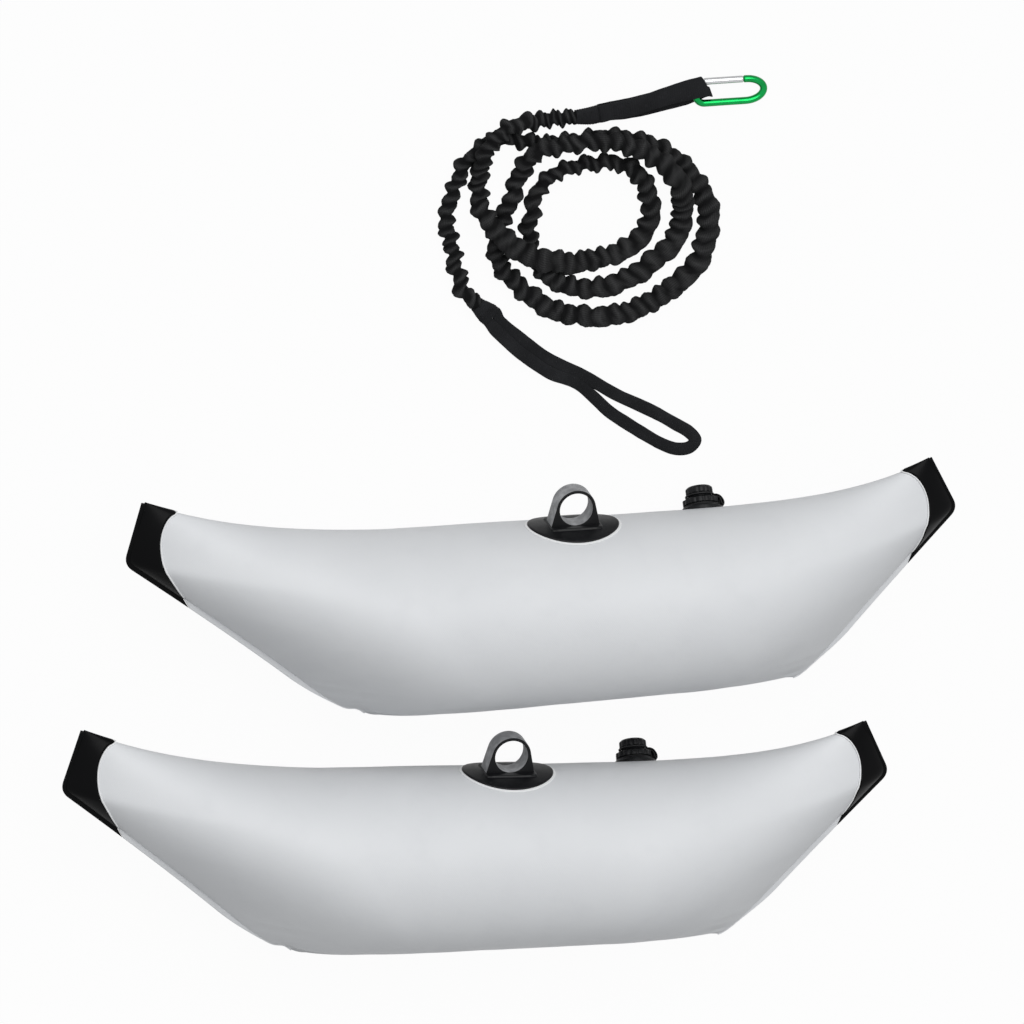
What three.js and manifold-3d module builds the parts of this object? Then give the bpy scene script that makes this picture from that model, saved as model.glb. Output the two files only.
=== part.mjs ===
// Inflatable outrigger kit for a kayak: two air-filled floats and a coiled elastic leash, laid out flat.
// Units are millimetres and +Z is up. The floats lie on their sides, X runs along them, and their arm rings
// point along +Y. Each float is a tube of coated cloth whose ends are crimped flat along slanting seams.
import * as THREE from 'three';
import { mergeVertices } from 'three/addons/utils/BufferGeometryUtils.js';
import Module from 'manifold-3d';

const wasm = await Module();
wasm.setup();

// Places on the floor
const nearFloatX = -23.1;
const nearFloatY = -383.4;
const nearFloatTurn = -0.9;
const farFloatX = 35.5;
const farFloatY = -92.6;
const farFloatTurn = 1.96;
const leashX = 87.3;
const leashY = 341.2;

// Clearances and overruns
const fitGap = 0.35;
const cutOverrun = 12;

// Float body
const floatHalfDepth = 104;
const floatRadius = 105;
const skinWall = 1.2;
const seamWidth = 6;
const seamThickness = 1.6;
const seamOverlap = 1;
const crimpShare = 0.284;
const crimpPowerShare = 0.75;
const ringSides = 22;
const endShares = [0, 0.02, 0.05, 0.09, 0.135, 0.185, 0.24, 0.3, 0.37, 0.45];
const cavityFirstStation = 1;
const seamSteps = 24;
const seamTipRound = 12;
const leftFootRun = 76.6;
const leftFootLead = 14.4;
const rightFootRun = 63.9;
const rightFootLead = 14.3;
const leftCornerX = -465.3;
const leftCornerY = 162.8;
const leftTipX = -482.8;
const leftTipY = 90.9;
const leftFootX = -217;
const leftFootY = -116.5;
const leftSeamBow = 2.5;
const rightCornerX = 435.3;
const rightCornerY = 158.3;
const rightTipX = 468.1;
const rightTipY = 96.2;
const rightFootX = 301.9;
const rightFootY = -99.8;
const rightSeamBow = 1.2;
const bottomLeftY = -106.4;
const bottomRightY = -90.5;
const leftRiseX = -171.9;
const leftRisePowerShare = 1.92;
const rightRiseX = 106;
const rightRisePowerShare = 3.05;

// Black end caps, welded over both faces of each tip
const capThickness = 1.6;
const lipThickness = 3;
const leftCapTopX = -424.2;
const leftCapTopY = 147.9;
const leftCapMidX = -455.5;
const leftCapMidY = 125.2;
const leftCapFootX = -410.6;
const leftCapFootY = 37.4;
const rightCapTopX = 410.7;
const rightCapTopY = 139.3;
const rightCapMidX = 428.5;
const rightCapMidY = 119.2;
const rightCapFootX = 410.1;
const rightCapFootY = 29.8;

// Arm ring: the pole of the outrigger arm slides through its bore
const ringX = 27;
const ringBoreRadius = 18.75;
const ringWall = 3.55;
const ringDepth = 22.5;
const ringBevel = 0.8;
const ringFlangeHalfLength = 51.5;
const ringFlangeHalfWidth = 38.5;
const ringFlangeThickness = 1.75;
const ringBaseHalfLength = 27;
const ringFilletSize = 4;
const ringSegments = 14;
const flangeSegments = 14;
const patchThickness = 0.6;
const patchMargin = 2.2;

// Air valve: a base welded into the skin, a screw-in plug with a one-way flap, and a screw cap on a tether
const valveShare = 0.737;
const valveAngle = 38;
const valveSegments = 20;
const valveHoleRadius = 17;
const valveNeckWall = 3;
const valveNeckDepth = 18;
const valveSkirtRadius = 24.5;
const valveSkirtHeight = 1.6;
const valveCollarRadius = 20.5;
const valveCollarHeight = 5;
const gasketThickness = 0.8;
const gasketInset = 1;
const plugRimRadius = 20;
const plugRimHeight = 6.2;
const plugGripCount = 14;
const plugGripDepth = 0.9;
const plugNeckDepth = 14;
const spoutRadius = 9;
const spoutWall = 2.5;
const spoutHeight = 11;
const spiderThickness = 2;
const spiderBarWidth = 2.4;
const flapThickness = 1.2;
const flapMargin = 2.2;
const flapStemRadius = 1.2;
const capRadius = 15.2;
const capHeight = 13;
const capTopThickness = 5;
const capDomeDrop = 2.4;
const capGrooveDepth = 1.8;
const capGrooveHeight = 2.4;
const capGrooveLip = 1.2;
const capGripCount = 12;
const capGripDepth = 0.7;
const tetherThickness = 1.3;
const tetherRingWidth = 3.6;
const tetherStrapWidth = 7;
const tetherReach = 21;

// Leash sleeve: a gathered tube of cloth over an elastic core
const sleeveHalfWidth = 13;
const sleeveHalfHeight = 8;
const sleeveWidthShares = [
  0.7, 0.73, 1, 0.92, 0.67, 0.81, 1, 0.88, 0.81, 0.81, 0.92, 1, 0.83, 0.73, 0.7, 0.7,
];
const sleeveRibs = 100;
const sleeveSides = 8;
const ribDepthShare = 0.16;
const boreWidthShare = 0.6;
const boreHeightShare = 0.66;
const boreEveryRings = 3;
const coreRadius = 4;
const coreSides = 6;
const floorGap = 0.4;
const crossingGap = 1.6;
const routeDivisions = 3000;

// The route starts at the carabiner strap and ends at the hand loop. The third number is the layer:
// 0 on the floor and 1 over the strand below.
const sleeveRoute = [
  [-32, 116, 0], [-49, 115.2, 0], [-66, 114, 0], [-82, 114, 0.3], [-98, 116, 0.85], [-112, 113, 1],
  [-124, 104, 1], [-133, 92, 1], [-139, 77, 0.95], [-140, 58, 0.5], [-138, 39, 0.05], [-137, 23, 0.1],
  [-134, 12, 0.6], [-128, 2, 1], [-117, -10, 1], [-104, -23, 1], [-90, -33, 1], [-75, -40, 1],
  [-59, -46, 0.95], [-41, -51, 0.5], [-21, -55, 0.05], [7, -51, 0], [33, -42, 0], [51, -27, 0],
  [60, -9, 0], [59, 13, 0], [52, 35, 0], [37, 52, 0], [16, 61, 0], [-7, 61, 0], [-30, 58, 0],
  [-51, 50, 0], [-66, 36, 0], [-73, 17, 0], [-76, -4, 0], [-76, -25, 0], [-70, -44, 0],
  [-59, -61, 0], [-43, -75, 0], [-21, -84, 0], [6, -86, 0], [32, -80, 0], [55, -67, 0],
  [75, -50, 0], [91, -31, 0], [97, -8, 0], [96, 10, 0.25], [91, 27, 0.85], [85, 42, 1],
  [74, 57, 1], [57, 71, 1], [38, 82, 1], [14, 90, 1], [-9, 93, 1], [-32, 92, 1], [-54, 89, 1],
  [-71, 86, 1], [-83, 80, 1], [-89, 69, 0.75], [-92, 54, 0.2], [-95, 40, 0], [-100, 19, 0],
  [-109, -5, 0], [-113, -27, 0], [-108, -50, 0], [-94, -71, 0], [-74, -89, 0], [-50, -107, 0],
  [-22, -116.5, 0], [9, -120, 0], [39, -117, 0], [66, -106, 0], [90, -90, 0], [109, -73, 0],
  [122, -51, 0], [128, -25, 0], [127, 1, 0], [119, 22, 0], [105, 42, 0], [86, 62, 0], [62, 78, 0],
  [37, 87, 0], [9, 91, 0], [-18, 90, 0], [-46, 87, 0], [-72, 86, 0], [-97, 91, 0], [-120, 92, 0],
  [-139, 81, 0], [-154.5, 65, 0], [-163, 45, 0], [-169.5, 21, 0], [-172, -4, 0], [-164, -30, 0],
  [-157, -56, 0], [-149.5, -78, 0], [-140, -93, 0], [-128, -103.5, 0],
];

// Hand loop: folded webbing that leaves the sewn end, turns at its tip and comes back beside itself
const loopHalfWidth = 6;
const loopHalfThickness = 2.5;
const loopSteps = 44;
const loopRoute = [
  [-115, -123.1, 1], [-98.7, -139.2, 0], [-79.3, -157.3, 0], [-58, -173.5, 0], [-37, -188, 0],
  [-16, -199, 0], [-2, -208, 0], [15, -221, 0], [33, -237, 0], [55, -252, 0], [77, -266, 0],
  [96, -277, 0], [114, -283.5, 0], [129, -282, 0], [136, -273, 0], [128, -262.5, 0],
  [111, -252, 0], [87, -238, 0], [65, -227, 0], [42, -216, 0], [18, -202, 0], [-4, -188, 0],
  [-25, -175, 0], [-47, -161, 0], [-67.3, -145.8, 0], [-84.7, -131.7, 0], [-106.3, -113.2, 1],
];
const loopEndRise = 0.9;

// Sewn ends: the sleeve, its core and the webbing are stitched into one flat block
const sewnEndLead = 5;
const loopEndX = -111.4;
const loopEndY = -117.9;
const loopEndTurn = -41;
const loopEndHalfWidths = [8.8, 10.5, 12.8, 12.8];
const loopEndHalfThicknesses = [6.8, 5.8, 3.8, 3.4];
const strapEndHalfWidths = [8.8, 9.2, 9.2, 8.6];
const strapEndHalfThicknesses = [6.8, 5.8, 5, 4.6];

// Carabiner strap: one band of webbing, doubled back through the carabiner
const strapX = -9;
const strapY = 117.2;
const strapTurn = 11.2;
const strapHalfWidth = 12.5;
const strapThickness = 1.6;
const strapHingeX = 100;
const strapFoldX = 118.5;
const strapNeckHalfWidth = 8.5;
const strapNeckLength = 16;
const strapFoldHalfWidth = 7.5;
const strapEndHeight = 7.8;
const strapSteps = 6;
const foldSteps = 8;

// Carabiner
const clipX = 113;
const clipY = 140.4;
const clipTurn = 2.4;
const rodRadius = 4;
const clipHalfWidth = 12.8;
const clipSmallEnd = 11;
const clipLargeEnd = 20;
const clipSides = 5;
const clipSteps = 40;
const pivotSetback = 4.2;
const tabRadius = 3.4;
const tabThickness = 2.8;
const gateRadius = 3.8;
const gateLength = 42.9;
const largeEndSetback = 4.1;
const clipLength = gateLength + largeEndSetback;
const gateEndGap = 0.6;
const gatePinRadius = 1.2;
const catchPinRadius = 0.9;
const catchPinSetback = 4.2;
const catchPinX = gateLength - catchPinSetback;
const tongueLength = 6.9;
const tongueThickness = 2.6;
const tongueHalfWidth = 2.6;
const gateSlotDepth = 4.2;
const springBoreRadius = 2.2;
const springBoreShare = 0.49;
const springBoreEnd = springBoreShare * gateLength;
const springRadius = 1.6;
const springWireRadius = 0.3;
const springTurns = 4;
const springWireSides = 5;
const springStepsPerTurn = 8;
const plungerLength = 4;
const gateSegments = 14;
const pinSegments = 12;

const turn = 2 * Math.PI;
const degree = Math.PI / 180;

// Surfaces and solids

function toSolid(geometry) {
  const bare = geometry.clone();
  bare.deleteAttribute('normal');
  bare.deleteAttribute('uv');
  const merged = mergeVertices(bare, 1e-4);
  const corners = merged.index.array;
  const kept = [];
  for (let i = 0; i < corners.length; i += 3) {
    const [a, b, c] = [corners[i], corners[i + 1], corners[i + 2]];
    if (a !== b && b !== c && c !== a) kept.push(a, b, c);
  }
  return new wasm.Manifold(new wasm.Mesh({
    numProp: 3,
    vertProperties: merged.attributes.position.array,
    triVerts: new Uint32Array(kept),
  }));
}

function toGeometry(solid) {
  const mesh = solid.getMesh();
  const positions = [];
  for (let i = 0; i < mesh.numVert; i += 1) {
    positions.push(...mesh.vertProperties.subarray(i * mesh.numProp, i * mesh.numProp + 3));
  }
  const geometry = new THREE.BufferGeometry();
  geometry.setAttribute('position', new THREE.Float32BufferAttribute(positions, 3));
  geometry.setIndex([...mesh.triVerts]);
  geometry.computeVertexNormals();
  return geometry;
}

// Faces between rings of points. Ring points run counterclockwise as seen from the last ring.
function ringFaces(rings, first, faces) {
  const sides = rings[0].length;
  for (let i = 0; i + 1 < rings.length; i += 1) {
    for (let j = 0; j < sides; j += 1) {
      const a = first + i * sides + j;
      const b = first + i * sides + ((j + 1) % sides);
      faces.push(a, b, b + sides, a, b + sides, a + sides);
    }
  }
}

function meshFrom(points, faces) {
  const geometry = new THREE.BufferGeometry();
  geometry.setAttribute('position', new THREE.Float32BufferAttribute(points.flatMap((p) => [p.x, p.y, p.z]), 3));
  geometry.setIndex(faces);
  geometry.computeVertexNormals();
  return geometry;
}

// A closed body through convex rings, with a fan of faces at each end.
function sweptBody(rings) {
  const sides = rings[0].length;
  const points = rings.flat();
  const faces = [];
  ringFaces(rings, 0, faces);
  const last = (rings.length - 1) * sides;
  for (let j = 1; j + 1 < sides; j += 1) {
    faces.push(0, j + 1, j, last, last + j, last + j + 1);
  }
  return meshFrom(points, faces);
}

function prism(shape, low, high, curveSegments = 12) {
  const options = { depth: high - low, bevelEnabled: false, curveSegments };
  return new THREE.ExtrudeGeometry(shape, options).translate(0, 0, low);
}

function polygon(points) {
  return new THREE.Shape(points.map(([x, y]) => new THREE.Vector2(x, y)));
}

function revolve(profile, segments) {
  const points = profile.map(([r, z]) => new THREE.Vector2(r, z));
  return new THREE.LatheGeometry(points, segments).rotateX(Math.PI / 2);
}

function disc(radius, low, high, segments) {
  return toSolid(revolve([[0, low], [radius, low], [radius, high], [0, high]], segments));
}

function pipe(inner, outer, low, high, segments) {
  const profile = [[inner, low], [outer, low], [outer, high], [inner, high], [inner, low]];
  return toSolid(revolve(profile, segments));
}

// A disc with finger grips: its rim goes in and out once for each grip.
function grippedDisc(radius, count, depth, low, high) {
  const rim = [];
  for (let i = 0; i < 2 * count; i += 1) {
    const angle = (turn * i) / (2 * count);
    const r = radius - (i % 2) * depth;
    rim.push([r * Math.cos(angle), r * Math.sin(angle)]);
  }
  return toSolid(prism(polygon(rim), low, high));
}

function place(solid, matrix) {
  return toSolid(toGeometry(solid).applyMatrix4(matrix));
}

// Float body

const bottomRun = new THREE.Vector2(rightFootX - leftFootX, bottomRightY - bottomLeftY).normalize();

// A seam's outer edge: from its corner round the tip and down a slight bow, then round into the bottom line.
function seamPath(side) {
  const corner = new THREE.Vector2(side.cornerX, side.cornerY);
  const tip = new THREE.Vector2(side.tipX, side.tipY);
  const foot = new THREE.Vector2(side.footX, side.footY);
  const along = foot.clone().sub(tip).normalize();
  const outward = new THREE.Vector2(along.y, -along.x).multiplyScalar(side.sign);
  const bow = tip.clone().lerp(foot, 0.5).addScaledVector(outward, 2 * side.bow);
  const before = corner.clone().sub(tip).setLength(seamTipRound).add(tip);
  const after = bow.clone().sub(tip).setLength(seamTipRound).add(tip);
  const above = bow.clone().sub(foot).setLength(side.footRun).add(foot);
  const inside = foot.clone().addScaledVector(bottomRun, -side.sign * side.footLead);
  const path = new THREE.Path();
  path.moveTo(corner.x, corner.y);
  path.lineTo(before.x, before.y);
  path.quadraticCurveTo(tip.x, tip.y, after.x, after.y);
  path.quadraticCurveTo(bow.x, bow.y, above.x, above.y);
  path.quadraticCurveTo(foot.x, foot.y, inside.x, inside.y);
  return path;
}

const leftSide = {
  sign: -1, cornerX: leftCornerX, cornerY: leftCornerY, tipX: leftTipX, tipY: leftTipY,
  footX: leftFootX, footY: leftFootY, bow: leftSeamBow, footRun: leftFootRun, footLead: leftFootLead,
  capTop: [leftCapTopX, leftCapTopY], capMid: [leftCapMidX, leftCapMidY],
  capFoot: [leftCapFootX, leftCapFootY],
};
const rightSide = {
  sign: 1, cornerX: rightCornerX, cornerY: rightCornerY, tipX: rightTipX, tipY: rightTipY,
  footX: rightFootX, footY: rightFootY, bow: rightSeamBow, footRun: rightFootRun, footLead: rightFootLead,
  capTop: [rightCapTopX, rightCapTopY], capMid: [rightCapMidX, rightCapMidY],
  capFoot: [rightCapFootX, rightCapFootY],
};
for (const side of [leftSide, rightSide]) side.path = seamPath(side);

// A point of the seam, moved inwards from the outer edge of its lip.
function seamPoint(side, share, inset) {
  const point = side.path.getPointAt(share);
  const tangent = side.path.getTangentAt(share);
  const inward = new THREE.Vector2(tangent.y, -tangent.x).multiplyScalar(side.sign);
  return point.addScaledVector(inward, inset);
}

function topLine(share) {
  const start = seamPoint(leftSide, 0, seamWidth);
  const end = seamPoint(rightSide, 0, seamWidth);
  const x = THREE.MathUtils.lerp(start.x, end.x, share);
  const left = Math.max(0, (x - leftRiseX) / (start.x - leftRiseX));
  const right = Math.max(0, (x - rightRiseX) / (end.x - rightRiseX));
  const rise = (start.y - floatRadius) * left ** leftRisePowerShare
    + (end.y - floatRadius) * right ** rightRisePowerShare;
  return new THREE.Vector2(x, floatRadius + rise);
}

function bottomLine(share) {
  const start = seamPoint(leftSide, 1, seamWidth);
  const end = seamPoint(rightSide, 1, seamWidth);
  const y = THREE.MathUtils.lerp(bottomLeftY, bottomRightY, share);
  return new THREE.Vector2(THREE.MathUtils.lerp(start.x, end.x, share), y);
}

const ruled = (share, across) => topLine(share).lerp(bottomLine(share), across);

// How full the tube is: none at the crimped seams, whole over its middle.
function fullness(share) {
  const fromEnd = Math.min(share, 1 - share) / crimpShare;
  return Math.sin((Math.PI / 2) * Math.min(1, fromEnd)) ** crimpPowerShare;
}

// Ring points number an odd count a side, so that the widest face lies flat on the floor.
const flatFaceAngle = (turn * Math.round(ringSides / 4 - 0.5)) / ringSides;

function floatPoint(share, angle, offset) {
  const across = (1 - Math.cos(angle)) / 2;
  const flat = ruled(share, across);
  for (const [side, end] of [[leftSide, 0], [rightSide, 1]]) {
    const nearness = Math.max(0, 1 - Math.abs(share - end) / crimpShare) ** 2;
    const shift = seamPoint(side, across, seamWidth).sub(ruled(end, across));
    const outward = seamPoint(side, across, -offset).sub(seamPoint(side, across, 0));
    flat.addScaledVector(shift.add(outward), nearness);
  }
  flat.y += offset * Math.cos(angle);
  const depth = (floatHalfDepth * fullness(share)) / Math.sin(flatFaceAngle) + offset;
  return new THREE.Vector3(flat.x, flat.y, depth * Math.sin(angle));
}

const stationShares = [...endShares, ...endShares.map((share) => 1 - share).reverse()];

// The float's outer surface, moved outwards by offset, between two of its stations.
function floatLoft(offset, firstStation = 0) {
  const shares = stationShares.slice(firstStation, stationShares.length - firstStation);
  const rings = shares.map((share) => {
    const ring = [];
    for (let j = 0; j < ringSides; j += 1) {
      ring.push(floatPoint(share, (turn * j) / ringSides, offset));
    }
    return ring;
  });
  const points = rings.flat();
  const faces = [];
  ringFaces(rings, 0, faces);
  const last = (rings.length - 1) * ringSides;
  const mirrored = (j) => (ringSides - j) % ringSides;
  for (let j = 0; j < ringSides / 2; j += 1) {
    const [a, b, c, d] = [j, j + 1, mirrored(j + 1), mirrored(j)];
    faces.push(a, c, b, a, d, c);
    faces.push(last + a, last + b, last + c, last + a, last + c, last + d);
  }
  return toSolid(meshFrom(points, faces));
}

// A flat strip along a seam, from one inset to another.
function seamStrip(side, innerInset, thickness) {
  const outer = [];
  const inner = [];
  for (let i = 0; i <= seamSteps; i += 1) {
    const share = i / seamSteps;
    outer.push(seamPoint(side, share, 0).toArray());
    inner.unshift(seamPoint(side, share, innerInset).toArray());
  }
  return toSolid(prism(polygon([...outer, ...inner]), -thickness / 2, thickness / 2));
}

// Everything outside the curved edge of an end cap, moved towards the middle by shift.
function capRegion(side, shift) {
  const [topX, topY] = side.capTop;
  const [midX, midY] = side.capMid;
  const [footX, footY] = side.capFoot;
  const move = -side.sign * shift;
  const farX = side.tipX + side.sign * cutOverrun;
  const farY = topY + seamWidth + cutOverrun * 2;
  const shape = new THREE.Shape();
  shape.moveTo(topX + move, farY);
  shape.lineTo(topX + move, topY);
  shape.quadraticCurveTo(2 * midX - (topX + footX) / 2 + move, 2 * midY - (topY + footY) / 2, footX + move, footY);
  shape.lineTo(footX + move + side.sign * cutOverrun, footY - cutOverrun);
  shape.lineTo(farX, footY - cutOverrun);
  shape.lineTo(farX, farY);
  return toSolid(prism(shape, -floatHalfDepth, floatHalfDepth));
}

function valveMatrix() {
  const angle = -valveAngle * degree;
  const step = 1e-3;
  const point = floatPoint(valveShare, angle, 0);
  const along = floatPoint(valveShare + step, angle, 0).sub(point).normalize();
  const around = floatPoint(valveShare, angle - step, 0).sub(point).normalize();
  const axis = new THREE.Vector3().crossVectors(along, around).normalize();
  if (axis.y < 0) axis.negate();
  const side = new THREE.Vector3().crossVectors(axis, along);
  return new THREE.Matrix4().makeBasis(along, side, axis).setPosition(point);
}

const valvePlace = valveMatrix();

function floatSkin(outer) {
  const holeReach = valveNeckDepth + cutOverrun;
  const hole = place(disc(valveHoleRadius, -holeReach, holeReach, valveSegments), valvePlace);
  let flanges = seamStrip(leftSide, seamWidth + seamOverlap, seamThickness)
    .add(seamStrip(rightSide, seamWidth + seamOverlap, seamThickness));
  for (const side of [leftSide, rightSide]) flanges = flanges.subtract(capRegion(side, fitGap));
  return outer.add(flanges).subtract(floatLoft(-skinWall, cavityFirstStation)).subtract(hole);
}

function endCap(side, outer) {
  const shell = floatLoft(fitGap + capThickness).subtract(outer);
  const lip = seamStrip(side, seamWidth - 2 * fitGap, lipThickness);
  return shell.add(lip).intersect(capRegion(side, 0));
}

// Arm ring

const ringY = floatRadius + fitGap * 2 + patchThickness + ringFlangeThickness + ringBoreRadius + fitGap;
const ringRadius = ringBoreRadius + ringWall;

function ovalPost(halfLength, halfWidth) {
  const shape = new THREE.Shape().absellipse(0, 0, halfLength, halfWidth, 0, turn);
  const post = prism(shape, 0, floatRadius + ringRadius, flangeSegments);
  return toSolid(post.rotateX(-Math.PI / 2).translate(ringX, 0, 0));
}

function ringPatch() {
  const sheet = floatLoft(fitGap + patchThickness).subtract(floatLoft(fitGap));
  return sheet.intersect(ovalPost(ringFlangeHalfLength + patchMargin, ringFlangeHalfWidth + patchMargin));
}

// The block's sides run from its base straight up to touch the round top.
function ringBlock(baseY) {
  const drop = ringY - baseY;
  const reach = Math.hypot(ringBaseHalfLength, drop);
  const touch = Math.atan2(-drop, ringBaseHalfLength) + Math.acos(ringRadius / reach);
  const shape = new THREE.Shape();
  shape.moveTo(ringX - ringBaseHalfLength, baseY - cutOverrun);
  shape.lineTo(ringX + ringBaseHalfLength, baseY - cutOverrun);
  shape.lineTo(ringX + ringBaseHalfLength, baseY);
  shape.absarc(ringX, ringY, ringRadius, touch, Math.PI - touch, false);
  shape.lineTo(ringX - ringBaseHalfLength, baseY);
  const bore = new THREE.Path().absarc(ringX, ringY, ringBoreRadius, 0, turn, true);
  shape.holes.push(bore);
  const options = {
    depth: ringDepth - 2 * ringBevel, curveSegments: ringSegments, bevelEnabled: true, bevelSegments: 1,
    bevelThickness: ringBevel, bevelSize: ringBevel, bevelOffset: -ringBevel,
  };
  return toSolid(new THREE.ExtrudeGeometry(shape, options).translate(0, 0, ringBevel - ringDepth / 2));
}

// A sloping foot that carries the block on its flange.
function ringFoot(baseY) {
  const rectangle = (y, grow) => {
    const x = ringBaseHalfLength + grow;
    const z = ringDepth / 2 + grow;
    const corners = [[-x, -z], [-x, z], [x, z], [x, -z]];
    return corners.map(([dx, dz]) => new THREE.Vector3(ringX + dx, y, dz));
  };
  const low = baseY - ringFilletSize;
  return toSolid(sweptBody([rectangle(low - ringFilletSize, 2 * ringFilletSize), rectangle(baseY, 0)]));
}

function armRing() {
  const below = floatLoft(2 * fitGap + patchThickness);
  const flange = floatLoft(2 * fitGap + patchThickness + ringFlangeThickness)
    .intersect(ovalPost(ringFlangeHalfLength, ringFlangeHalfWidth));
  const baseY = ringY - ringBoreRadius - ringWall / 2;
  return flange.add(ringBlock(baseY)).add(ringFoot(baseY)).subtract(below);
}

// Air valve, along its own axis from the skin outwards

const gasketLow = valveCollarHeight + fitGap;
const plugLow = gasketLow + gasketThickness + fitGap;
const deckHeight = plugLow + plugRimHeight;
const spoutTop = deckHeight + spoutHeight;
const spoutBore = spoutRadius - spoutWall;
const tetherLow = deckHeight + fitGap;
const capLow = tetherLow + tetherThickness + fitGap;
const capTop = capLow + capHeight;
const neckBore = valveHoleRadius - fitGap - valveNeckWall;

function valveBase() {
  const skirt = toSolid(revolve([
    [neckBore, -valveCollarHeight], [valveSkirtRadius, -valveCollarHeight],
    [valveSkirtRadius, valveSkirtHeight], [valveCollarRadius, valveSkirtHeight * 2],
    [valveCollarRadius, valveCollarHeight], [neckBore, valveCollarHeight], [neckBore, -valveCollarHeight],
  ], valveSegments));
  const neck = pipe(neckBore, neckBore + valveNeckWall, -valveNeckDepth, valveCollarHeight, valveSegments);
  return place(skirt, valvePlace).subtract(floatLoft(fitGap)).add(place(neck, valvePlace));
}

function plugGasket() {
  const outer = plugRimRadius - plugGripDepth - gasketInset;
  return pipe(neckBore, outer, gasketLow, gasketLow + gasketThickness, valveSegments);
}

function valvePlug() {
  const neckRadius = neckBore - fitGap;
  const bore = disc(spoutBore, -plugNeckDepth - cutOverrun, spoutTop + cutOverrun, valveSegments);
  const body = grippedDisc(plugRimRadius, plugGripCount, plugGripDepth, plugLow, deckHeight)
    .add(disc(neckRadius, -plugNeckDepth, plugLow + fitGap, valveSegments))
    .add(disc(spoutRadius, deckHeight - fitGap, spoutTop, valveSegments))
    .subtract(bore);
  const low = -plugNeckDepth;
  const high = low + spiderThickness;
  let spider = disc(flapStemRadius + fitGap + spiderBarWidth / 2, low, high, pinSegments);
  for (const angle of [0, turn / 4]) {
    const reach = spoutBore + fitGap;
    const bar = new THREE.BoxGeometry(2 * reach, spiderBarWidth, spiderThickness);
    bar.rotateZ(angle).translate(0, 0, (low + high) / 2);
    spider = spider.add(toSolid(bar));
  }
  const stemHole = disc(flapStemRadius + fitGap, low - cutOverrun, high + cutOverrun, pinSegments);
  return body.add(spider.subtract(stemHole));
}

function valveFlap() {
  const high = -plugNeckDepth - fitGap;
  const stemTop = spiderThickness - plugNeckDepth + flapMargin;
  return disc(spoutBore + flapMargin, high - flapThickness, high, valveSegments)
    .add(disc(flapStemRadius, high - flapThickness / 2, stemTop, pinSegments));
}

function valveCap() {
  const grooveRadius = capRadius - capGrooveDepth;
  const grooveTop = capLow + capGrooveLip + capGrooveHeight;
  const inner = spoutRadius + fitGap;
  const skirt = toSolid(revolve([
    [inner, capLow], [grooveRadius + capGrooveLip / 2, capLow],
    [grooveRadius, capLow + capGrooveLip], [grooveRadius, grooveTop + fitGap],
    [inner, grooveTop + fitGap], [inner, capLow],
  ], valveSegments));
  const head = grippedDisc(capRadius, capGripCount, capGripDepth, grooveTop, capTop - capDomeDrop);
  const domeRadius = capRadius - capGripDepth;
  const dome = toSolid(revolve([
    [0, capTop - capDomeDrop - fitGap], [domeRadius, capTop - capDomeDrop - fitGap],
    [domeRadius, capTop - capDomeDrop], [domeRadius - capDomeDrop, capTop - capDomeDrop / 4],
    [domeRadius / 2, capTop], [0, capTop],
  ], valveSegments));
  const cavity = disc(inner, capLow - cutOverrun, Math.max(spoutTop + fitGap, capTop - capTopThickness), valveSegments);
  return skirt.add(head).add(dome).subtract(cavity);
}

const capGrooveRadius = capRadius - capGrooveDepth;
const tetherRingLow = capLow + capGrooveLip + fitGap;
const tetherRingHigh = capLow + capGrooveLip + capGrooveHeight - fitGap;
const tetherRingOuter = capGrooveRadius + fitGap + tetherRingWidth;

// The tether's upper loop sits in the cap's groove and carries a lug beside it.
function tetherRing() {
  const loop = pipe(capGrooveRadius + fitGap, tetherRingOuter, tetherRingLow, tetherRingHigh, valveSegments);
  const middle = (tetherRingOuter + tetherReach - tetherThickness) / 2;
  const length = tetherReach + tetherThickness - tetherRingOuter;
  const lug = new THREE.BoxGeometry(length, tetherStrapWidth, tetherRingHigh - tetherRingLow);
  lug.translate(middle, 0, (tetherRingLow + tetherRingHigh) / 2);
  return loop.add(toSolid(lug));
}

// The tether's lower loop lies on the plug's deck; its strap runs out and turns up under the lug.
function capTether() {
  const outer = spoutRadius + fitGap + tetherRingWidth;
  const loop = pipe(spoutRadius + fitGap, outer, tetherLow, tetherLow + tetherThickness, valveSegments);
  const strapHigh = tetherRingLow - fitGap;
  const strap = polygon([
    [outer - tetherRingWidth / 2, tetherLow], [tetherReach, tetherLow], [tetherReach, strapHigh],
    [tetherReach - tetherThickness, strapHigh], [tetherReach - tetherThickness, tetherLow + tetherThickness],
    [outer - tetherRingWidth / 2, tetherLow + tetherThickness],
  ]);
  const band = prism(strap, -tetherStrapWidth / 2, tetherStrapWidth / 2).rotateX(Math.PI / 2);
  return loop.add(toSolid(band));
}

// Leash

const sleeveGround = sleeveHalfHeight + floorGap;
const layerRise = 2 * sleeveHalfHeight + crossingGap;

function curveThrough(route, height) {
  const points = route.map(([x, y, layer]) => new THREE.Vector3(x, y, height(layer)));
  const curve = new THREE.CatmullRomCurve3(points, false, 'centripetal');
  curve.arcLengthDivisions = routeDivisions;
  return curve;
}

const sleeveCurve = curveThrough(sleeveRoute, (layer) => sleeveGround + layer * layerRise);

function sampleShares(shares, at) {
  const spot = at * (shares.length - 1);
  const index = Math.min(shares.length - 2, Math.floor(spot));
  return THREE.MathUtils.lerp(shares[index], shares[index + 1], spot - index);
}

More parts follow.
